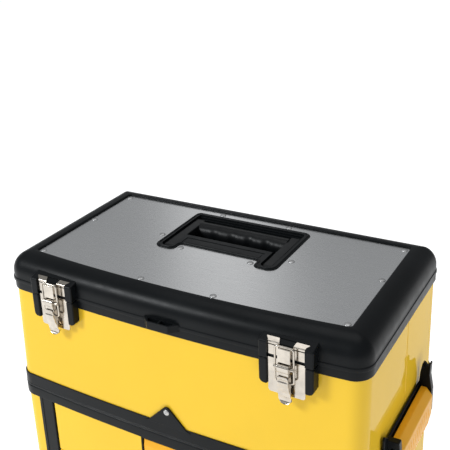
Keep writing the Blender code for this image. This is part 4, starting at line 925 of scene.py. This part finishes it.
def side_seam():
    """The rear sheet laps over the front one on each side wall of the top box."""
    for side in (-1, 1):
        foot, head = BOX_FOOT.half - 0.2, BOX_TOP.half - 0.2
        seam_y, end_y, thick = -92.5, BOX_TOP.back - BOX_TOP.back_radius - 0.5, 0.65
        rings = []
        for z, half in ((BAND_TOP - 2.0, foot), (WALL_HEAD, head)):
            rings.append([(side * (half - 0.6), seam_y, z), (side * (half + thick - 0.25), seam_y, z),
                          (side * (half + thick), seam_y + 0.5, z), (side * (half + thick), end_y - 30.0, z),
                          (side * (half - 0.2), end_y, z), (side * (half - 0.6), end_y, z)])
        piece(f"side_lap_{'lr'[side > 0]}", skin(rings), YELLOW, "top_box", sharp=30.0)


# ---- side clips


def side_clips():
    for where, seam, body in (("upper", BAND_FOOT, "top_box"), ("lower", TIER_FOOT, "middle_tier")):
        for side in (-1, 1):
            tag = f"{where}_{'lr'[side > 0]}"
            clip_carrier(tag, side, seam, body)
            clip_grip(tag, side, seam)


def clip_carrier(tag, side, seam, body):
    """Black end caps joined by a strip on the wall: the back one has two horns, the front one is cut level."""
    foot = [(249.0, -22.0), (260.5, -22.0), (265.0, -15.0), (264.8, 19.0)]
    horns = [(261.2, 39.0), (261.6, 56.5), (259.4, 56.5), (258.4, 48.5), (252.9, 54.5), (251.0, 54.5),
             (249.0, 42.0), (248.0, 28.0)]
    horned = rounded(raised(seam, foot + horns),
                     (0.5, 3.0, 5.0, 9.0, 7.0, 1.0, 1.0, 0.8, 0.6, 0.7, 6.0, 4.0), 5)
    horned = slab(mirrored(side, horned), "Y", CLIP_BACK, CLIP_BACK + CLIP_CAP, 0.6, 3)
    # a slanted facet between the horns, deepest at their tips
    facet = raised(seam, [(CLIP_BACK - 1.0, 36.0), (CLIP_BACK + 6.2, 56.0), (CLIP_BACK - 1.0, 61.0)])
    facet = slab(facet, "X", side * 253.0, side * 258.6)
    level = rounded(raised(seam, foot + [(263.8, 29.5), (248.0, 29.5)]), (0.5, 3.0, 5.0, 9.0, 1.4, 1.4), 5)
    level = slab(mirrored(side, level), "Y", CLIP_FRONT - CLIP_CAP, CLIP_FRONT, 0.8, 3)
    near, far = CLIP_FRONT - 4.0, CLIP_FRONT - 22.0
    ear = raised(seam, [(near, 8.0), (near, 29.0), (far + 4.0, 40.0), (far, 38.0), (far + 3.0, 8.0)])
    ear = slab(rounded(ear, (1.5, 4.0, 2.4, 2.4, 3.0), 5), "X", side * 247.4, side * 250.6, 1.0, 3)
    strip = rounded(raised(seam, [(247.2, -12.0), (249.4, -12.0), (249.4, 25.8), (247.2, 27.6)]), 0.5, 2)
    strip = slab(mirrored(side, strip), "Y", CLIP_FRONT - 5.0, CLIP_BACK + 5.0, 0.3)
    parts = [carved(horned, facet), level, ear, strip]
    bore = lathe([(CLIP_FRONT - 20.0, 2.3), (CLIP_BACK + 20.0, 2.3)], "Y",
                 (side * CLIP_AXIS_X, 0.0, seam + CLIP_AXIS_RISE), 20)
    cap = carved(merged(*parts), bore)
    piece(f"clip_carrier_piece_{tag}", cap, BLACK, body, (f"clip_carrier_{tag}",), sharp=34.0)


def clip_grip(tag, side, seam):
    """The orange clip: a bright top bevel, a crowned face with slanted ribs, and the hook under the seam."""
    shape = [(251.4, 22.3), (258.6, 22.3), (266.6, 12.2), (266.4, -14.0), (263.0, -33.0), (259.4, -33.0),
             (259.4, -20.4), (245.7, -20.4), (245.7, -15.6), (250.2, -15.6), (250.2, 2.0)]
    shape = rounded(raised(seam, shape), (0.6, 3.0, 4.5, 9.0, 1.6, 0.8, 2.0, 1.0, 0.8, 1.5, 2.0), 5)
    ends = (CLIP_FRONT + 0.4, CLIP_BACK - 0.4)
    parts = [slab(mirrored(side, shape), "Y", *ends, 0.7, 3)]
    pin = [(CLIP_FRONT - 2.6, 1.6), (CLIP_FRONT - 2.2, 2.0), (CLIP_BACK + 2.2, 2.0), (CLIP_BACK + 2.6, 1.6)]
    parts.append(lathe(pin, "Y", (side * CLIP_AXIS_X, 0.0, seam + CLIP_AXIS_RISE), 20))
    first, last = ends[0] + 13.0, ends[1] - 13.0
    for n in range(RIBS):
        y = first + (last - first) * n / (RIBS - 1)
        path = [(side * 266.1, y - 5.0, seam + 3.0), (side * 266.05, y - 1.0, seam - 9.0),
                (side * 264.4, y + 4.0, seam - 24.5)]
        parts.append(tube(bent(path, 7.0, 4), 0.85, 8))
    ledge = [(side * 266.15, ends[0] + 4.0, seam + 5.4), (side * 266.15, ends[1] - 4.0, seam + 5.4)]
    parts.append(tube(ledge, 0.55, 8))
    piece(f"clip_grip_piece_{tag}", merged(*parts), ORANGE, f"clip_{tag}", (f"clip_grip_{tag}",), sharp=34.0)


# ---- lower tiers


def tier_moulding(name, node, body, head, foot, with_foot):
    """The ring at a tier's head, its two front posts and, on the drawer tier, the ring at its foot."""
    top = head - GAP
    foot_of_ring = head - RING
    ring = raised(foot_of_ring, [(0.7, 0.0), (0.2, 0.2), (0.0, 0.9)])
    ring += raised(top, [(0.0, -1.6), (0.3, -0.6), (1.0, 0.0), (19.6, 0.0), (20.0, -0.4), (20.0, -1.9),
                         (2.4, -1.9), (1.9, -2.4)])
    ring += raised(foot_of_ring, [(1.9, 0.2), (1.6, 0.0)])
    parts = [sweep(BAND, ring)]
    if with_foot:
        low, high = foot - 2.0, foot + 12.0
        ring = raised(low + GAP, [(0.9, 0.0), (0.2, 0.3)]) + [(0.0, low + 1.2)]
        ring += raised(high, [(0.0, -0.9), (0.3, -0.2), (0.9, 0.0), (1.7, 0.0), (1.9, -0.3)])
        ring += raised(low, [(1.9, 2.6), (2.4, 2.1), (19.6, 2.1), (20.0, 1.7), (20.0, GAP)])
        parts.append(sweep(BAND, ring))
    for side in (-1, 1):
        near, far = side * OPENING_HALF, side * POST_HALF
        outline = [(x, BAND.front_at(x) + 0.7) for x in (near + (far - near) * i / 6 for i in range(7))]
        outline += [(far, BAND.front_at(far) + 14.0), (near, BAND.front_at(near) + 14.0)]
        radii = [1.2] + [0.0] * 5 + [1.2, 0.5, 0.5]
        parts.append(slab(rounded(outline, radii, 4), "Z", foot, head - 1.0))
        # a thin bead down the post
        bead_x = near + (far - near) * 0.78
        bead_y = BAND.front_at(bead_x) + 0.75
        parts.append(tube([(bead_x, bead_y, foot + 14.0), (bead_x, bead_y, foot_of_ring)], 0.75, 10))
    piece(name, merged(*parts), BLACK, body, (node,), sharp=34.0)


def bowed_panel(half, depths, heights, corner, edge=0.0):
    """A panel between two depths behind the bowed front, with round corners and edges."""
    steps = 40
    near, deep = depths
    xs = [-half + 2 * half * i / steps for i in range(steps + 1)]
    outline = [(x, BOX_FOOT.front_at(x) + near) for x in xs]
    outline += [(x, BOX_FOOT.front_at(x) + deep) for x in reversed(xs)]
    radii = ([corner] + [0.0] * (steps - 1) + [corner]) * 2
    return slab(rounded(outline, radii, 3), "Z", *heights, edge, 3)


def pull_front(name, body):
    """A door or drawer front: the yellow panel, the black cup in its notch, and the orange flap in the cup."""
    low, high = (corner.z for corner in span(f"{name}_front"))
    face = BOX_FOOT.front_at(0.0)
    cup_half, notch_half, drop = 43.7, 43.7 + GAP, 36.0
    notch = rounded(rect((-notch_half, notch_half), (high - drop, high + 9.0)), (6.0, 6.0, 0.0, 0.0), 5)
    tools = [slab(notch, "Y", face - 6.0, face + 30.0)]
    if name == "bin":
        y, z = BIN_AXIS
        tools.append(lathe([(-400.0, 8.2), (400.0, 8.2)], "X", (0.0, y, z), 32))
    tools.append(bowed_panel(DOOR_HALF - SHEET, (SHEET, DOOR_THICK + 4.0), (low + SHEET, high - SHEET), 0.8))
    panel = carved(bowed_panel(DOOR_HALF, (0.0, DOOR_THICK), (low, high), 1.8, 1.2), *tools)
    piece(f"{name}_panel", panel, YELLOW, body, (f"{name}_front",), sharp=34.0)

    rim = rounded(rect((-cup_half, cup_half), (high - drop + GAP, high - GAP)), (5.7, 5.7, 0.6, 0.6), 5)
    inner = shrunk(rim, 2.2)
    profile = [(rim, 19.0), (rim, 0.6), (shrunk(rim, 0.4), 0.2), (shrunk(rim, 1.7), 0.2), (inner, 0.9),
               (inner, 15.0), (shrunk(inner, 2.0), 17.0)]
    rings = [[(x, face + depth, z) for x, z in outline] for outline, depth in profile]
    piece(f"{name}_cup", skin(rings), BLACK, body, (f"{name}_bezel",), sharp=36.0)

    axis = (face + 5.0, high - 6.0)
    flap = [(2.4, 3.2), (8.0, 3.2), (8.0, 9.0), (4.4, 16.0), (3.2, 28.0), (0.9, 28.0), (0.6, 12.0)]
    flap = rounded([(face + depth, high - fall) for depth, fall in flap],
                   (2.4, 1.0, 3.0, 5.0, 1.0, 1.1, 8.0), 5)
    grooves = [tube([(x, face + 0.9, high - 13.0), (x, face + 0.9, high - 25.0)], 0.6, 8)
               for x in (-24.0 + 6.0 * n for n in range(9))]
    pin = lathe([(-42.5, 1.2), (-42.2, 1.6), (42.2, 1.6), (42.5, 1.2)], "X", (0.0, *axis), 18)
    flap = merged(slab(flap, "X", -40.6, 40.6, 0.9, 3), pin, *grooves)
    piece(f"{name}_flap", flap, ORANGE, f"{name}_pull", (f"{name}_pull",), sharp=36.0)


def drawer_tier():
    """The middle tier: its carcass and mouldings, the two drawers and their runners."""
    tier_moulding("middle_tier_moulding", "middle_frame", "middle_tier", BAND_FOOT, TIER_FOOT + 2.0, True)
    carcass("middle_carcass", "middle_shell", "middle_tier", TIER_FOOT + 2.4, BAND_FOOT - 2.6)
    walls = []
    for side in (-1, 1):
        tall = (TIER_FOOT + 3.0, BAND_FOOT - 3.2)
        walls.append(block((side * 186.0, side * 187.5), (-222.0, 24.6), tall, 0.3))
    piece("drawer_walls", merged(*walls), YELLOW, "middle_tier", ("middle_shell",))
    for name in ("drawer_lower", "drawer_upper"):
        pull_front(name, name)
        tray(name)
    for side in (-1, 1):
        runner(side)


def carcass(name, node, body, low, high):
    """A folded sheet carcass, open between the posts at the front."""
    wall = BOX_FOOT.inset(SHEET)
    profile = raised(low, [(0.8, 0.0), (0.2, 0.3), (0.0, 0.9)])
    profile += raised(high, [(0.0, -0.9), (0.2, -0.3), (0.8, 0.0)])
    shell = skin([BOX_FOOT.inset(d).level(z) for d, z in profile])
    hollow = skin([wall.level(low + SHEET), wall.level(high - SHEET)])
    mouth = block((-POST_HALF - GAP, POST_HALF + GAP), (-262.0, -225.0), (low - 2.0, high + 2.0))
    tools = [hollow, mouth]
    if node == "base_shell":
        for side in (-1, 1):
            arch = (side * (WELL_X - WELL_ROOM), side * 262.0)
            tools.append(block(arch, (WELL_FRONT - WELL_ROOM, 60.0), (20.0, WELL_TOP + WELL_ROOM)))
    piece(name, carved(shell, *tools), YELLOW, body, (node,), sharp=34.0)


def tray(name):
    """A pressed drawer tray with a rolled lip and pressed ribs along its floor."""
    low, high = span(f"{name}_tray")
    outline = rounded(rect((low.x, high.x), (low.y, high.y)), 2.5, 4)
    profile = raised(low.z, [(1.6, 0.0), (0.4, 0.4), (0.0, 1.6)])
    profile += raised(high.z, [(0.0, -0.4), (0.4, 0.0), (1.2, 0.0), (1.5, -0.3)])
    profile += raised(low.z, [(1.5, 2.6), (1.8, 1.8), (2.8, 1.5)])
    rings = [lifted(shrunk(outline, inset), z) for inset, z in profile]
    ribs = [tube([(x, low.y + 12.0, low.z + 1.3), (x, high.y - 12.0, low.z + 1.3)], 1.0, 10)
            for x in (-120.0, -60.0, 0.0, 60.0, 120.0)]
    piece(f"{name}_tray_piece", merged(skin(rings), *ribs), STEEL, name, (f"{name}_tray",), sharp=34.0)


def runner(side):
    """A pressed plate with a folded ledge for each drawer."""
    tag = "lr"[side > 0]
    low, high = span(f"drawer_runner_{tag}")
    plate_x = (side * 184.2, side * 185.7)
    middle = (span("drawer_upper_front")[0].z + span("drawer_lower_front")[1].z) / 2 + 3.0
    parts = [block(plate_x, (low.y, high.y), (low.z, high.z), 0.3)]
    for z in (low.z, middle):
        parts.append(block((side * 172.0, side * 184.8), (low.y, high.y), (z, z + SHEET), 0.3))
    piece(f"runner_{tag}", merged(*parts), STEEL, "middle_tier", (f"drawer_runner_{tag}",))


def base_tier():
    """The bottom tier: its carcass and plinth, the tilting bin, the feet and the wheels."""
    tier_moulding("base_tier_moulding", "base_frame", "base_tier", TIER_FOOT, PLINTH_TOP + GAP, False)
    carcass("base_carcass", "base_shell", "base_tier", PLINTH_TOP + GAP, TIER_FOOT - 2.6)
    plinth()
    lugs = []
    for side in (-1, 1):
        x = side * TUBE_X
        lug = block((x - LUG_HALF, x + LUG_HALF), (26.3, 67.0), (TIER_FOOT - 13.4, TIER_FOOT - 0.8), 1.0, 2.5)
        lugs.append(carved(lug, sleeve_hole(x, (TIER_FOOT - 30.0, TIER_FOOT + 10.0))))
    piece("sleeve_lugs", merged(*lugs), BLACK, "base_tier", ("base_frame",))
    pull_front("bin", "tilt_bin")
    tub()
    rod = lathe([(-200.8, 3.0), (-200.2, 3.6), (200.2, 3.6), (200.8, 3.0)], "X", (0.0, *BIN_AXIS), 24)
    piece("pivot_rod", rod, STEEL, "base_tier", ("bin_pivot_rod",))
    for side in (-1, 1):
        foot_pad(side)
        wheel(side)


def sleeve_hole(x, tall):
    """Room for a handle sleeve in its lug."""
    wide, deep = SLEEVE_ROOM
    return block((x - wide, x + wide), (TUBE_Y - deep, TUBE_Y + deep), tall)


def plinth():
    """The black skirt round the base with its wheel arches, axle ears and sleeve lugs."""
    low, high = PLINTH_FOOT, PLINTH_TOP
    profile = raised(low, [(4.6, 0.0), (3.0, 0.4), (0.8, 2.6), (0.0, 4.4)])
    profile += raised(high, [(0.0, -7.0), (0.5, -6.4), (0.5, -5.0), (0.0, -4.4), (0.0, -1.4), (0.4, -0.4),
                             (1.2, 0.0), (4.5, 0.0)])
    profile += raised(low, [(4.5, 12.0), (24.0, 12.0), (24.0, 0.0)])
    floor = block((-226.0, 226.0), (-226.0, 8.0), (low + 2.0, low + 5.0), 0.3, 1.0)
    mouth = block((-OPENING_HALF, OPENING_HALF), (-262.0, -236.0), (57.0, 90.0), 0.0, 3.0, "Y")
    ring = carved(sweep(BAND, profile), mouth)
    parts, tools = [ring, floor], []
    for side in (-1, 1):
        arch = (side * (WELL_X - WELL_WALL), side * 246.2)
        parts.append(block(arch, (WELL_FRONT - WELL_WALL, 27.0), (30.0, WELL_TOP + WELL_WALL), 1.5, 3.0))
        ear = rounded([(20.0, 30.0), (50.0, 36.0), (50.0, 64.0), (20.0, 80.0)], (0.0, 8.0, 8.0, 0.0), 5)
        parts.append(slab(ear, "X", side * (WELL_X - WELL_WALL), side * (WELL_X + 1.0), 0.4))
        x = side * TUBE_X
        parts.append(block((x - LUG_HALF, x + LUG_HALF), (24.4, 67.0), (57.0, 69.0), 1.0, 2.5))
        tools.append(block((side * WELL_X, side * 262.0), (WELL_FRONT, 60.0), (-5.0, WELL_TOP), 0.0, 6.0, "X"))
        tools.append(lathe([(-12.0, 5.4), (12.0, 5.4)], "X", (side * WELL_X, *AXLE_AXIS), 28))
        tools.append(sleeve_hole(x, (50.0, 80.0)))
    body = carved(*parts, operation="UNION")
    piece("plinth_moulding", carved(body, *tools), BLACK, "base_tier", ("base_plinth",), sharp=34.0)


def tub():
    """The bin behind its door: a moulded tub with a rolled lip and knuckles on the pivot rod."""
    outer = rounded([(-228.4, 76.0), (-62.0, 76.0), (-60.0, 140.0), (-200.0, 196.0), (-228.4, 200.0)],
                    (2.0, 6.0, 6.0, 10.0, 1.0), 5)
    inner = rounded([(-226.2, 78.4), (-63.0, 78.4), (-62.4, 160.0), (-198.0, 230.0), (-226.2, 230.0)],
                    (1.0, 5.0, 1.0, 1.0, 0.0), 4)
    y, z = BIN_AXIS
    knuckles = []
    for side in (-1, 1):
        knuckles.append(slab(rounded(around(y, z, 6.5), 5.0, 5), "X", side * 176.0, side * 184.0, 0.4))
    body = carved(slab(outer, "X", -184.0, 184.0, 1.2), slab(inner, "X", -181.6, 181.6, 0.8))
    rod = lathe([(-400.0, 4.0), (400.0, 4.0)], "X", (0.0, y, z), 28)
    whole = carved(body, *knuckles, operation="UNION")
    piece("bin_tub_piece", carved(whole, rod), BLACK, "tilt_bin", ("bin_tub",), sharp=34.0)


def foot_pad(side):
    tag = "lr"[side > 0]
    low, high = span(f"front_foot_{tag}")
    centre = ((low.x + high.x) / 2, (low.y + high.y) / 2, 0.0)
    reach = (high.x - low.x) / 2
    rim = raised(reach, [(0.0, -4.0), (0.5, -2.6), (1.6, -2.0), (3.2, -1.6), (3.6, -2.4), (4.6, -2.4),
                         (5.0, -1.2), (high.z - 1.2, -0.1), (high.z, -1.0)])
    pad = lathe([(0.0, 0.4), *rim, (high.z, 0.4)], "Z", centre, 48)
    piece(f"foot_pad_{tag}", pad, RUBBER, "base_tier", (f"front_foot_{tag}",))


def wheel(side):
    """A treaded tyre on a dished hub with a boss and ten ribs."""
    tag, middle = "lr"[side > 0], (WHEEL_INNER + WHEEL_OUTER) / 2
    centre = (side * middle, *AXLE_AXIS)
    half = (WHEEL_OUTER - WHEEL_INNER) / 2
    crown = [(-half + 0.2, 36.2), (-half + 0.2, 41.0), (-half, 43.0), (-half + 0.6, 46.0), (-half + 3.4, 49.0),
             (-8.5, 49.8), (-8.0, 48.4), (-6.0, 48.4), (-5.5, 49.9), (-1.0, 50.0), (-0.7, 48.6)]
    tyre = crown + [(-a, r) for a, r in reversed(crown)]
    tyre = lathe([(side * a, r) for a, r in tyre], "X", centre, 72, loop=True)
    piece(f"tyre_{tag}", tyre, TYRE, f"wheel_{tag}", (f"wheel_tyre_{tag}",), sharp=38.0)

    face = half - 2.0
    hub = [(-face, 5.4), (-face, 35.0), (-face + 0.5, 35.7), (face - 0.5, 35.7), (face, 35.0), (face, 32.0),
           (face - 0.8, 31.0), (5.5, 29.5), (4.6, 28.5), (4.6, 15.0), (6.0, 13.0), (face - 1.4, 12.0),
           (face - 0.8, 11.4), (face - 0.8, 5.4)]
    hub = lathe([(side * a, r) for a, r in hub], "X", centre, 60, loop=True)
    ribs = []
    for n in range(10):
        rib = block((side * (middle + 4.0), side * (middle + face - 3.4)), (-1.3, 1.3), (12.0, 31.0), 0.5)
        turn = Matrix.Rotation(2 * math.pi * n / 10, 4, "X")
        rest = Matrix.Translation(at(0.0, *AXLE_AXIS)) @ turn @ Matrix.Translation(-at(0.0, 0.0, 0.0))
        bmesh.ops.transform(rib, matrix=rest, verts=rib.verts)
        ribs.append(rib)
    piece(f"hub_{tag}", merged(hub, *ribs), BLACK, f"wheel_{tag}", (f"wheel_hub_{tag}",))


def axle():
    """The wheels' steel axle with a domed cap at each end."""
    end = span("wheel_axle")[1].x
    half = [(0.0, 5.0), (end - 5.3, 5.0), (end - 5.2, 8.2), (end - 4.6, 9.0), (end - 1.6, 8.6),
            (end - 0.4, 6.6), (end, 3.0), (end, 0.05)]
    profile = [(-a, r) for a, r in reversed(half)] + half[1:]
    piece("axle", lathe(profile, "X", (0.0, *AXLE_AXIS), 32), STEEL, "base_tier", ("wheel_axle",))


# ---- telescopic handle


def square_tube(node, name, body, wall):
    """A drawn tube with round corners in the place of its CAD node."""
    low, high = span(node)
    outer = rounded(rect((low.x, high.x), (low.y, high.y)), 2.4, 5)
    profile = raised(low.z, [(0.2, 0.0), (0.0, 0.2)]) + raised(high.z, [(0.0, -0.2), (0.2, 0.0), (wall, 0.0)])
    profile.append((wall, low.z))
    rings = [lifted(shrunk(outer, inset), z) for inset, z in profile]
    piece(name, skin(rings, loop=True), STEEL, body, (node,), sharp=34.0)


def telescopic_handle():
    for side in (-1, 1):
        tag = "lr"[side > 0]
        square_tube(f"handle_sleeve_{tag}", f"sleeve_{tag}", "base_tier", SHEET)
        square_tube(f"handle_tube_{tag}", f"lower_tube_{tag}", "handle_lower", SHEET)
        square_tube(f"handle_inner_tube_{tag}", f"upper_tube_{tag}", "handle_upper", 1.2)
    low, high = span("handle_collar")
    holes = [socket(side, (low.z - 5.0, high.z + 5.0)) for side in (-1, 1)]
    bar = carved(block((low.x, high.x), (low.y, high.y), (low.z, high.z), 1.2, 5.0), *holes)
    piece("collar", bar, BLACK, "handle_lower", ("handle_collar",), sharp=34.0)

    low, high = span("handle_grip")
    middle = (low.y + high.y) / 2
    outline = rounded(rect((low.x, high.x), (low.z, high.z)), (6.0, 6.0, 13.0, 13.0), 8)
    bar = slab(outline, "Y", low.y, high.y, 5.5, 6)
    tools = [socket(side, (low.z - 10.0, low.z + 6.3)) for side in (-1, 1)]
    tools.append(block((-17.0, 17.0), (middle - 7.0, middle + 7.0), (578.0, 600.0), 0.0, 2.0))
    for x in range(-84, 85, 8):
        if abs(x) > 26:
            groove = ((x - 0.9, x + 0.9), (low.y - 1.0, low.y + 0.9), (low.z + 6.0, high.z - 8.0))
            tools.append(block(*groove, 0.0, 0.4, "Y"))
    piece("pull_grip", carved(bar, *tools), GRIP_BLACK, "handle_upper", ("handle_grip",), sharp=34.0)
    low, high = span("handle_button")
    button = block((low.x, high.x), (low.y, high.y), (low.z, high.z), 1.6, 3.0)
    piece("button", button, ORANGE, "handle_button", ("handle_button",), sharp=34.0)


def socket(side, tall):
    """Room for an upper tube in the collar or the grip."""
    low, high = span(f"handle_inner_tube_{'lr'[side > 0]}")
    return block((low.x - GAP, high.x + GAP), (low.y - GAP, high.y + GAP), tall, 0.0, 2.0)


lid_shell()
handle_frame()
handle_well()
lid_plate()
lid_details()
carry_handle()
toggle_latches()
top_box()
side_clips()
drawer_tier()
base_tier()
axle()
telescopic_handle()


def finish_hinge_rod():
    """The lid's hinge rod stays in view as it was packed, in the same steel as the pieces round it."""
    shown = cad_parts["lid_hinge_rod"]
    shown.data.materials.clear()
    shown.data.materials.append(STEEL)


# ---- studio


def area_light(name, place, target, size, power, tint=(1.0, 1.0, 1.0)):
    light = bpy.data.lights.new(name, "AREA")
    light.shape, light.size, light.size_y = "RECTANGLE", size[0], size[1]
    light.energy, light.color = power, tint
    lamp = bpy.data.objects.new(name, light)
    lamp.location = place
    lamp.rotation_euler = (Vector(target) - Vector(place)).to_track_quat("-Z", "Y").to_euler()
    scene.collection.objects.link(lamp)


def studio():
    """A pale floor that glows a little, a grey surround, and soft lights in front, above and low behind."""
    paper = Finish("studio_paper", Specular_IOR_Level=0.1, Emission_Color=(1.0, 1.0, 1.0, 1.0),
                   Emission_Strength=0.74)
    paper.colours(paper.noise(3.0, 2.0), (0.3, (0.88, 0.88, 0.88)), (0.7, (0.9, 0.9, 0.9)))
    paper.roughness(paper.noise(8.0, 2.0), 0.9, 0.96)
    ground = bmesh.new()
    bmesh.ops.create_grid(ground, x_segments=8, y_segments=8, size=14.0)
    floor = to_object("studio_floor", ground)
    floor.location.z = cad_bounds[0][2] - 0.0005
    floor.data.materials.append(paper.material)

    world = bpy.data.worlds.new("studio_surround")
    scene.world = world
    world.use_nodes = True
    surround = world.node_tree.nodes["Background"]
    surround.inputs["Color"].default_value = (0.96, 0.98, 1.0, 1.0)
    surround.inputs["Strength"].default_value = 0.32
    middle = Vector((0.0, 0.0, 0.55))
    area_light("front_softbox", (-1.5, -1.9, 2.05), middle, (0.75, 0.6), 37.0, (0.95, 0.98, 1.0))
    area_light("top_softbox", (0.0, 0.2, 3.0), middle, (2.4, 1.6), 16.0)
    # a tall box behind on the left, which draws the soft light band down the lid's metal plate
    band_turn, band_reach = math.radians(30.0), 3.4
    band_place = (-band_reach * math.sin(band_turn), band_reach * math.cos(band_turn), 2.35)
    area_light("back_softbox", band_place, middle, (0.6, 1.6), 1.3)
    scene.view_settings.view_transform = "Standard"


def camera():
    """Seen from the front right and above, with the frame shifted down onto the upper half of the box."""
    azimuth, rise, roll = 0.5334, 0.3692, -0.0433
    back = Vector((math.sin(azimuth) * math.cos(rise), -math.cos(azimuth) * math.cos(rise), math.sin(rise)))
    level = Vector((math.cos(azimuth), math.sin(azimuth), 0.0))
    up = level.cross(-back)
    right = level * math.cos(roll) + up * math.sin(roll)
    upright = up * math.cos(roll) - level * math.sin(roll)
    lens = bpy.data.cameras.new("camera")
    lens.lens, lens.sensor_width = 64.8, 36.0
    lens.shift_x, lens.shift_y = 0.0211, -0.1
    lens.clip_end = 60.0
    view = bpy.data.objects.new("camera", lens)
    view.matrix_world = Matrix((right, upright, back)).transposed().to_4x4()
    view.location = at(475.6, -916.2, 1091.0)
    scene.collection.objects.link(view)
    scene.camera = view


finish_hinge_rod()
studio()
camera()

bpy.context.view_layer.update()
